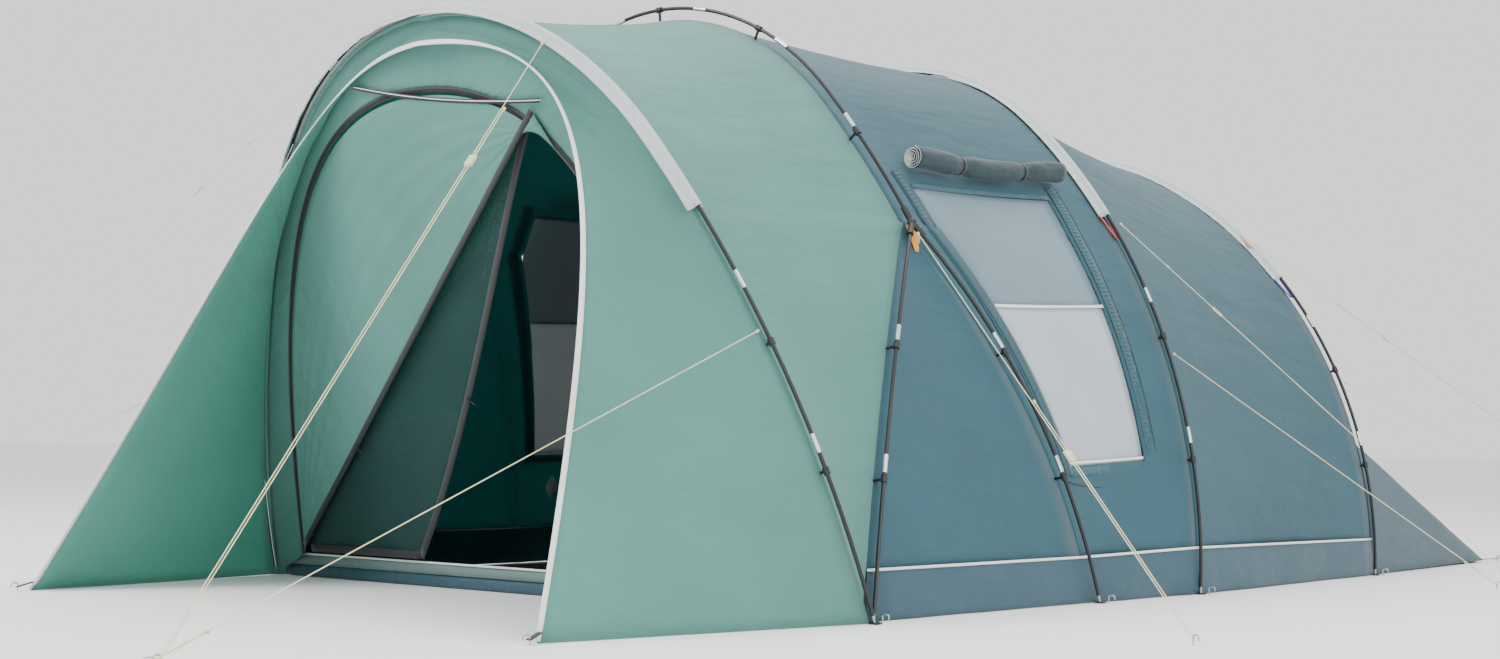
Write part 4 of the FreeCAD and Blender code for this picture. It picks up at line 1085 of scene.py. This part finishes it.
@dataclass
class FrontWall:
    """The wall in the front hoop's plane, its doorway, the drawn-back outer door and the mesh door."""

    wall_offset: float = 0.006
    door_offset: float = -0.0055
    mesh_offset: float = 0.0228

    def on_plane(self, x: float, z: float, offset: float = 0.0) -> Points:
        """A point of the wall's plane from its place across and its height."""
        return at(x, -z * math.tan(math.radians(FRONT.lean)) + offset, z)

    def opening(self, share: float) -> tuple[float, float]:
        """The doorway's edge from its lower left corner over the top to its lower right corner."""
        left = [np.array(spot) for spot in ((-1.27, 0.09), (-1.13, 1.05), (-0.85, 1.70), (-0.15, 1.70))]
        right = [np.array(spot) for spot in ((-0.15, 1.70), (0.50, 1.70), (0.86, 1.30), (0.86, 0.09))]
        spot = bezier(left, share * 2) if share < 0.5 else bezier(right, share * 2 - 1)
        return float(spot[0]), float(spot[1])

    def wall(self) -> None:
        """The wall from the hoop in to the doorway, and down to the ground beside it."""
        rows = []
        gap = FLY_GAP + 0.006
        for share in steps(0, 1, 90):
            outer = FRONT.point(FRONT.length * (1 - share), gap)
            x, z = self.opening(share)
            inner = self.on_plane(x, z)
            row = []
            for step in steps(0, 1, 7):
                spot = outer * (1 - step) + inner * step
                ripple = 0.004 * math.sin(math.pi * step) * smooth_noise(share * 30, step * 2)
                spot[1] += self.wall_offset + ripple
                row.append(spot)
            rows.append(row)
        sheet_piece("front_wall_cloth", np.array(rows), "fly_light", ["front_wall"])

    def sill(self) -> None:
        """The step-over sill: a dark base, a green strip and a pale welt along the top."""
        left, right = -1.43, 1.43
        bands = (("sill_base", "mud_flap", 0.001, 0.045, 0.018), ("sill_strip", "sill", 0.045, 0.082, 0.013))
        for name, material, low, high, offset in bands:
            rows = [[at(left + (right - left) * step, offset + 0.003 * smooth_noise(step * 30, z * 9), z)
                     for z in (high, (low + high) / 2, low)] for step in steps(0, 1, 60)]
            sheet_piece(name, np.array(rows)[:, ::-1], material,
                        ["door_sill"] if name == "sill_base" else [])
        path = np.array([at(left + (right - left) * step, 0.010, 0.086) for step in steps(0, 1, 60)])
        new_piece("sill_welt", tube_mesh("sill_welt", path, 0.004, 8), "trim")

    def outer_door(self) -> None:
        """The outer door: zipped along the top and drawn down to the left foot in long folds."""
        rows = []
        foot, tip = np.array([-1.24, 0.125]), np.array([0.43, 1.585])
        for share in steps(0.005, 0.70, 60):
            x, z = self.opening(share)
            edge = np.array([x + 0.02, z - 0.02])
            reach = (share - 0.005) / 0.695
            free = foot * (1 - reach) + tip * reach
            row = []
            for step in steps(0, 1, 26):
                flat = edge * (1 - step) + free * step
                spot = self.on_plane(flat[0], flat[1], self.door_offset)
                depth = 0.35 + 0.65 * reach
                fold = 0.011 * math.sin(math.pi * step) * math.sin(step * 21 + reach * 3) * depth
                fold *= 1 - reach ** 6
                spot[1] -= abs(fold) + 0.002 * (1 + smooth_noise(step * 6, reach * 7))
                row.append(spot)
            rows.append(row)
        sheet_piece("outer_door_cloth", np.array(rows)[:, ::-1][::-1], "fly_light",
                    ["outer_door"],
                    body="outer_door")
        edge = np.array([row[-1] + np.array([0, -0.003, 0]) for row in rows])
        self.tape("outer_door_tape", edge, 0.022, "zip", "outer_door")

    def tape(self, name: str, path: Points, width: float, material: str,
             body: str = ROOT) -> bpy.types.Object:
        """A flat tape in the wall's plane along a path."""
        along = np.gradient(path, axis=0)
        across = np.cross(np.tile(FRONT.normal, (len(path), 1)), along)
        return sheet_piece(name, ribbon_grid(path, across, width), material, body=body,
                           declare=False,
                           thick=0.0012)

    def mesh_door(self) -> None:
        """The mesh door behind, gathered a little towards its free edge."""
        low, high = np.array([-0.592, 0.105]), np.array([0.40, 1.60])
        control = [low, np.array([-0.16, 0.62]), np.array([0.08, 1.12]), high]
        rows = []
        for share in steps(0.005, 0.68, 50):
            x, z = self.opening(share)
            edge = np.array([x + 0.018, max(z - 0.018, 0.105)])
            reach = (share - 0.005) / 0.675
            free = bezier(control, reach)
            row = []
            for step in steps(0, 1, 24):
                flat = edge * (1 - step) + free * step
                spot = self.on_plane(flat[0], flat[1], self.mesh_offset)
                spot[1] += 0.006 * math.sin(math.pi * step) * smooth_noise(step * 5, reach * 8, 2.0)
                row.append(spot)
            rows.append(row)
        sheet_piece("mesh_door_cloth", np.array(rows)[:, ::-1][::-1], "mesh", ["mesh_door"],
                    body="mesh_door")
        edge = np.array([row[-1] + np.array([0, -0.003, 0]) for row in rows])
        self.tape("mesh_door_tape", edge, 0.03, "zip", "mesh_door")
        panel = [[self.on_plane(-1.236 * (1 - step) + bezier(control, 0.34 * up)[0] * step,
                                0.112 + (bezier(control, 0.34 * up)[1] - 0.105) * (0.86 + 0.14 * step),
                                self.mesh_offset + 0.006) for step in steps(0.03, 0.97, 20)]
                 for up in steps(0, 1, 12)]
        sheet_piece("mesh_door_panel", np.array(panel), "mesh_panel", body="mesh_door")
        hem = np.array([self.on_plane(x, 0.112, self.mesh_offset - 0.003) for x in steps(-1.24, -0.592, 20)])
        self.tape("mesh_door_hem", hem, 0.03, "zip", "mesh_door")

    def zips(self) -> None:
        """The black zip tape round the doorway, with its pale welt."""
        path = np.array([self.on_plane(*self.opening(share), 0.002) for share in steps(0, 1, 110)])
        self.tape("doorway_zip_tape", path, 0.022, "zip")
        outward = np.tile(-FRONT.normal, (len(path), 1))
        ZIP_TEETH.place("doorway_zip_teeth", path + outward * 0.0012, outward, "webbing")
        for name, knots in (("wing_seam", WING_SEAM), ("top_seam", TOP_SEAM)):
            line = np.array([self.on_plane(*bezier([np.array(knot) for knot in knots], share), -0.012)
                             for share in steps(0, 1, 60)])
            self.tape(name, line, 0.014, "zip")
            new_piece(name + "_welt", tube_mesh(name, line + np.array([0.009, -0.002, 0.0]), 0.0018, 6),
                      "trim")

    def build(self) -> None:
        """Makes the whole front wall."""
        self.wall()
        self.sill()
        self.outer_door()
        self.mesh_door()
        self.zips()


@dataclass
class Windows:
    """The side windows: two panes, zip bands down both sides, and a rolled curtain above."""

    fly: Fly
    roll_radius: float = 0.041
    roll_core: float = 0.006
    roll_lift: float = 0.052
    roll_ends: tuple[float, float] = (0.22, 0.86)
    roll_turns: float = 4.2
    roll_layers: int = 90
    tie_places: tuple[float, float] = (0.3, 0.72)
    band_columns: tuple[float, float] = (0.155, 0.838)

    def pane(self, side: Side, name: str, low: float, high: float, material: str,
             nodes: Sequence[str]) -> None:
        """One pane of film."""
        rows = [[self.fly.side_point(share, column, -0.0015) for column in steps(0.2, 0.8, 12)]
                for share in steps(low, high, 14)]
        sheet_piece("%s_%s" % (name, side.label), on_side(np.array(rows), side), material,
                    nodes, thick=0.0008)

    def band(self, side: Side, name: str, spots: Sequence[tuple[float, float]], width: float, material: str,
             lift: float = 0.002) -> None:
        """A tape on the panel through (share, column) spots."""
        path = np.array([self.fly.side_point(share, column, lift) for share, column in spots])
        outward = np.array([self.fly.side_point(share, column, lift + 0.01)
                            for share, column in spots]) - path
        along = np.gradient(path, axis=0)
        grid = ribbon_grid(path, np.cross(along, outward), width)
        sheet_piece("%s_%s" % (name, side.label), on_side(grid, side), material, declare=False,
                    thick=0.0012)

    def ladder(self, side: Side, name: str, spots: Sequence[tuple[float, float]]) -> None:
        """The puckered rungs along a zip band."""
        path = np.array([self.fly.side_point(share, column, 0.0052) for share, column in spots])
        outward = np.array([self.fly.side_point(share, column, 0.0152) for share, column in spots]) - path
        flip = np.array([side.value, 1.0, 1.0])
        RUNGS.place("%s_%s" % (name, side.label), path * flip, outward * flip, "webbing")

    def curtain(self, side: Side) -> None:
        """The curtain rolled up tight under the eaves, its pale lining showing at the spiral ends."""
        share = self.fly.window_high + 0.03
        ends = [self.fly.side_point(share, column, self.roll_lift) for column in self.roll_ends]
        along = ends[1] - ends[0]
        length = float(np.linalg.norm(along))
        along /= length
        above = np.array([0.0, 0.0, 1.0])
        across = np.cross(along, above)
        across /= np.linalg.norm(across)
        above = np.cross(across, along)
        layers = self.roll_layers
        columns = steps(0, 1, 40)
        rows = []
        for layer in range(layers + 1):
            reach = layer / layers
            angle = 2 * math.pi * self.roll_turns * reach
            row = []
            for step in columns:
                tied = min(abs(step - place) for place in self.tie_places)
                waist = 1 - 0.24 * math.exp(-(tied / 0.045) ** 2)
                radius = (self.roll_core + (self.roll_radius - self.roll_core) * reach) * waist
                radius *= 1 + 0.07 * smooth_noise(step * 7, angle * 0.6, 5.0)
                sag = -0.020 * math.sin(math.pi * step) ** 2 + 0.005 * smooth_noise(step * 6, 0.0, 8.0)
                slip = 0.006 * (1 - reach) * (1 if step > 0.5 else -1)
                row.append(ends[0] + along * (length * step + slip) + above * (radius * math.sin(angle) + sag)
                           + across * radius * math.cos(angle))
            rows.append(row)
        grid = np.array(rows)
        piece = sheet_piece("curtain_roll_" + side.label, on_side(grid, side), "curtain",
                            ["curtain_rolls"] if side is Side.RIGHT else [], declare=False,
                            thick=0.0022)
        piece.data.materials.append(finish("lining"))
        wall = piece.modifiers["thickness"]
        wall.material_offset = 1
        wall.material_offset_rim = 1
        ties = []
        for place in self.tie_places:
            centre = ends[0] + along * length * place + above * -0.014
            loop = [centre + (self.roll_radius * 0.80) * (math.cos(turn) * across + math.sin(turn) * above)
                    for turn in steps(0, 2 * math.pi, 40)]
            path = np.array(loop)
            grid = ribbon_grid(path, np.tile(along, (len(path), 1)), 0.016)
            ties.append(grid)
        for number, grid in enumerate(ties):
            sheet_piece("curtain_tie_%s_%d" % (side.label, number), on_side(grid, side), "webbing",
                        ["curtain_ties"] if side is Side.RIGHT and number == 0 else [], declare=False,
                        thick=0.0015)

    def build(self) -> None:
        """Makes both windows."""
        fly = self.fly
        for side in Side:
            first = side is Side.RIGHT
            self.pane(side, "window_lower", fly.window_low, fly.window_mid, "window_low",
                      ["window_panes"] if first else [])
            self.pane(side, "window_upper", fly.window_mid, fly.window_high, "window_high", [])
            span = steps(fly.window_low - 0.012, fly.window_high + 0.02, 40)
            for name, column in zip(("window_band_front", "window_band_rear"), self.band_columns):
                spots = [(share, column) for share in span]
                self.band(side, name, spots, 0.056, "band", 0.0035)
                self.ladder(side, name + "_ladder", spots)
                for offset, label in ((-0.021, "a"), (0.021, "b")):
                    self.band(side, "%s_edge_%s" % (name, label),
                              [(share, column + offset) for share in span], 0.003, "zip", 0.0052)
            for name, share, width, colour in (("window_bar", fly.window_mid, 0.012, "trim"),
                                               ("window_foot", fly.window_low + 0.004, 0.010, "trim"),
                                               ("window_hem", fly.window_low - 0.008, 0.03, "band"),
                                               ("window_head", fly.window_high, 0.02, "band")):
                self.band(side, name, [(share, column) for column in steps(0.195, 0.805, 20)], width, colour,
                          0.003)
            low_seam = [(fly.window_low - 0.020 - 0.012 * math.sin(math.pi * step), 0.12 + 0.80 * step)
                        for step in steps(0, 1, 24)]
            self.band(side, "window_under_seam", low_seam, 0.004, "zip", 0.0035)
            self.curtain(side)


@dataclass
class Sleeves:
    """The pale pole sleeves, puckered along their seams, with coloured straps at their ends."""

    half_width: float = 0.034

    def profile(self) -> list[tuple[float, float]]:
        """Across and outward places of the sleeve's section, over the pole."""
        half = self.half_width
        return [(-half, -0.0165), (-half * 0.72, -0.013), (-0.0125, -0.006), (-0.0115, 0.003),
                (-0.0085, 0.0088),
                (0.0, 0.0112), (0.0085, 0.0088), (0.0115, 0.003), (0.0125, -0.006), (half * 0.72, -0.013),
                (half, -0.0165)]

    def build(self) -> None:
        """Makes the three sleeves and their end straps."""
        for name, hoop, reach in (("front", FRONT, 0.5), ("third", THIRD, 0.465), ("rear", REAR, 0.455)):
            half = hoop.length / 2
            rows = []
            count = 150
            for index, run in enumerate(steps(half * (1 - reach), half * (1 + reach), count)):
                spot = hoop.point(run)
                outward = spot - hoop.point(run, 0.01)
                outward /= np.linalg.norm(outward)
                row = []
                for across, out in self.profile():
                    pucker = abs(across) / self.half_width
                    wave = smooth_noise(index * 0.55, across * 20, 2.0 + half)
                    row.append(spot + hoop.normal * (across * (1 + 0.10 * pucker * wave))
                               + outward * (out + 0.0022 * pucker * wave))
                rows.append(row)
            sheet_piece("%s_sleeve_cloth" % name, np.array(rows), "sleeve",
                        ["pole_sleeves"] if name == "front" else [])
            colour = {"front": "", "third": "strap_red", "rear": "strap_blue"}[name]
            if colour:
                self.straps(name, hoop, half * (1 - reach), colour)

    def straps(self, name: str, hoop: Hoop, run: float, colour: str) -> None:
        """A V of webbing from the sleeve's two corners down to a clip on the pole."""
        for side in Side:
            parts = []
            for edge in (-1, 1):
                start = hoop.point(run + 0.01, 0.014) + hoop.normal * self.half_width * 0.8 * edge
                end = hoop.point(run - 0.10, 0.010) + hoop.normal * 0.008 * edge
                path = np.array([start * (1 - step) + end * step for step in steps(0, 1, 6)])
                parts.append(ribbon_grid(path, np.tile(hoop.normal, (len(path), 1)), 0.014)[::-1])
            for number, grid in enumerate(parts):
                nodes = ["sleeve_webbing"] if (name, side, number) == ("third", Side.RIGHT, 0) else []
                sheet_piece("%s_strap_%s_%d" % (name, side.label, number), on_side(grid, side), colour,
                            nodes, declare=False, thick=0.002)


@dataclass
class Trims:
    """Bindings, piping, corner straps and patches."""

    def binding(self) -> None:
        """The white binding along the porch's free edge."""
        path = np.array([trim_line(share) + np.array([0, -0.004, 0]) for share in steps(0, 1, 80)])
        left = (path * np.array([-1.0, 1.0, 1.0]))[::-1]
        path = np.concatenate([path, left[1:]])
        path[:, 2] = np.maximum(path[:, 2], 0.006)
        inner = np.array([front_line(share) for share in steps(0, 1, 80)])
        inner = np.concatenate([inner, (inner * np.array([-1.0, 1.0, 1.0]))[::-1][1:]])
        across = inner - path
        across /= np.linalg.norm(across, axis=1)[:, None]
        rows = ribbon_grid(path + across * 0.005, across, 0.017)
        sheet_piece("porch_binding", rows, "trim", ["hood_trim"], declare=False, thick=0.0035)

    def piping(self) -> None:
        """The pale piping above the mud flaps."""
        spots = []
        for first, second, count in ((near_line, far_line, 12), (far_line, third_line, 10),
                                     (third_line, rear_line, 20)):
            low = panel_grid(first, second, [FLAP_SHARE - 0.004, FLAP_SHARE, FLAP_SHARE + 0.004],
                             steps(0, 1, count),
                             0.006, 0.0)
            spots += list(low[1]) if not spots else list(low[1][1:])
        path = np.array(spots) + np.array([0.005, 0, 0])
        meshes = [tube_mesh("piping", path, 0.0048, 8),
                  tube_mesh("piping", (path * np.array([-1, 1, 1]))[::-1], 0.0048, 8)]
        new_piece("hem_piping", joined_mesh("hem_piping", meshes), "trim",
                  nodes=["reflective_piping"])

    def gussets(self) -> None:
        """Small orange reinforcements where the guy lines leave the rear hoop and the hubs."""
        for side in Side:
            for name, centre, tangent in (("rear_patch", REAR.share(0.64, -0.002),
                                           REAR.share(0.68) - REAR.share(0.60)),
                                          ("hub_patch", far_line(HUB_SHARE - 0.02) + np.array([0.004, 0, 0]),
                                           np.array([-0.2, 0.0, 1.0]))):
                tangent = tangent / np.linalg.norm(tangent)
                across = np.array([0.0, 1.0, 0.0])
                wide = 0.034 if name == "rear_patch" else 0.04
                rows = []
                for step in steps(0, 1, 6):
                    half = wide * (1 - 0.75 * step)
                    spot = centre + tangent * (step - 0.5) * 0.09 * (1 if name == "rear_patch" else -1)
                    rows.append([spot - across * half, spot, spot + across * half])
                if name == "hub_patch":
                    rows.reverse()
                sheet_piece("%s_%s" % (name, side.label), on_side(np.array(rows), side), "gusset",
                            declare=False, thick=0.002)

    def straps(self) -> None:
        """Webbing from each corner of the cloth to its peg."""
        number = 0
        for side in Side:
            for corner, peg, label in ((at(1.28, -1.15, 0.03), at(1.294, -1.205, 0.014), "front"),
                                       (at(1.25, 4.86, 0.012), at(1.284, 4.955, 0.014), "rear")):
                path = np.array([corner * (1 - step) + peg * step for step in steps(0, 1, 8)])
                grid = ribbon_grid(path, np.tile(np.array([1.0, 0.0, 0.0]), (len(path), 1)), 0.022)
                if label == "front":
                    grid = grid[:, ::-1]
                sheet_piece("corner_strap_%s_%s" % (label, side.label), on_side(grid, side), "webbing",
                            ["corner_straps"] if number == 0 else [], declare=False, thick=0.002)
                number += 1

    def emblem(self, fly: Fly) -> None:
        """A plain pale lozenge on the side panel, in place of any mark."""
        for side in Side:
            rows = [[fly.side_point(0.125 + 0.022 * up, 0.36 + 0.06 * along * (1 - abs(up)), 0.003)
                     for along in (-1, 0, 1)] for up in (-0.98, -0.5, 0, 0.5, 0.98)]
            sheet_piece("plain_patch_" + side.label, on_side(np.array(rows), side), "emblem",
                        declare=False,
                        thick=0.001)

    def build(self, fly: Fly) -> None:
        """Makes all the trims."""
        self.binding()
        self.piping()
        self.gussets()
        self.straps()
        self.emblem(fly)


@dataclass
class InnerTent:
    """The sleeping compartment and the floors."""

    def build(self) -> None:
        """Makes the inner walls, the inner front with its doorway, and both floors."""
        def near(share: float) -> Points:
            return THIRD.share(share, 0.17) + np.array([0, 0.04, 0])

        def far(share: float) -> Points:
            return REAR.share(share, 0.11) + np.array([0, -0.09, 0])
        grid = over_the_top(panel_grid(near, far, steps(0.012, 1, 40), steps(0, 1, 14), 0.02, 0.006))
        sheet_piece("inner_tent_cloth", grid, "inner_cloth", ["inner_walls"])
        door = [np.array(spot) for spot in ((-0.45, 0.08), (-0.45, 1.75), (0.45, 1.75), (0.45, 0.08))]
        for name, line, back, hole in (("inner_front_cloth", near, -0.06, True),
                                       ("inner_rear_cloth", far, 0.024, False)):
            rows = []
            depth = float(near(0.0)[1] if hole else far(0.0)[1]) + back
            for share in steps(0, 1, 60):
                up = 1 - abs(2 * share - 1)
                spot = line(max(up, 0.012))
                outer = np.array([spot[0] * (-1 if share < 0.5 else 1), depth, spot[2]])
                inner = np.array([0.0, depth, 0.75])
                if hole:
                    edge = bezier(door, share)
                    inner = np.array([edge[0], depth, edge[1]])
                rows.append([outer * (1 - step) + inner * step for step in steps(0, 1, 8)])
            sheet_piece(name, np.array(rows), "inner_cloth", ["inner_front"] if hole else [])
        for name, node in (("living_floor", "groundsheet"), ("sleeping_floor", "inner_floor")):
            low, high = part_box(node)
            rows = []
            for x in steps(high.x, low.x, 30):
                edge = [np.array([x, low.y + (high.y - low.y) * step,
                                  high.z - 0.0005 + 0.0012 * smooth_noise(x * 4, step * 9, 6.0)])
                        for step in steps(0, 1, 24)]
                rows.append(edge)
            sheet_piece(name, np.array(rows), "groundsheet", [],
                        thick=0.001)
            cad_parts[node].data.materials.clear()
            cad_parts[node].data.materials.append(finish("groundsheet"))


CAD_FINISHES = {
    "front_pole_sections": "pole", "mid_pole_sections": "pole", "third_pole_sections": "pole",
    "rear_pole_sections": "pole", "pole_ferrules": "ferrule", "pole_hubs": "plastic_black",
                "shock_cords": "cord",
    "pole_foot_pins": "steel", "foot_eyelets": "plastic_black", "pole_clips": "plastic_black",
    "outer_door_slider": "plastic_black", "mesh_door_slider": "plastic_black", "tent_pegs": "steel",
    "guy_pegs": "steel",
}


def dress_frame() -> None:
    """Gives every CAD node that stays in view its finish."""
    table = dict(CAD_FINISHES)
    for guy in GUYS:
        if guy.runner:
            for side in Side:
                table["runner_%s_%s" % (guy.runner, side.label)] = "runner_pale"
    for name, material in table.items():
        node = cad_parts[name]
        node.data.materials.clear()
        node.data.materials.append(finish(material))


def main() -> None:
    """Builds the scene in order."""
    logging.basicConfig(level=logging.INFO, format="%(name)s: %(message)s")
    Studio().build()
    GuyLines().build()
    fly = Fly()
    fly.build()
    RearEnd().build()
    FrontWall().build()
    Windows(fly).build()
    Sleeves().build()
    Trims().build(fly)
    InnerTent().build()
    dress_frame()


if __name__ == "__main__":
    main()
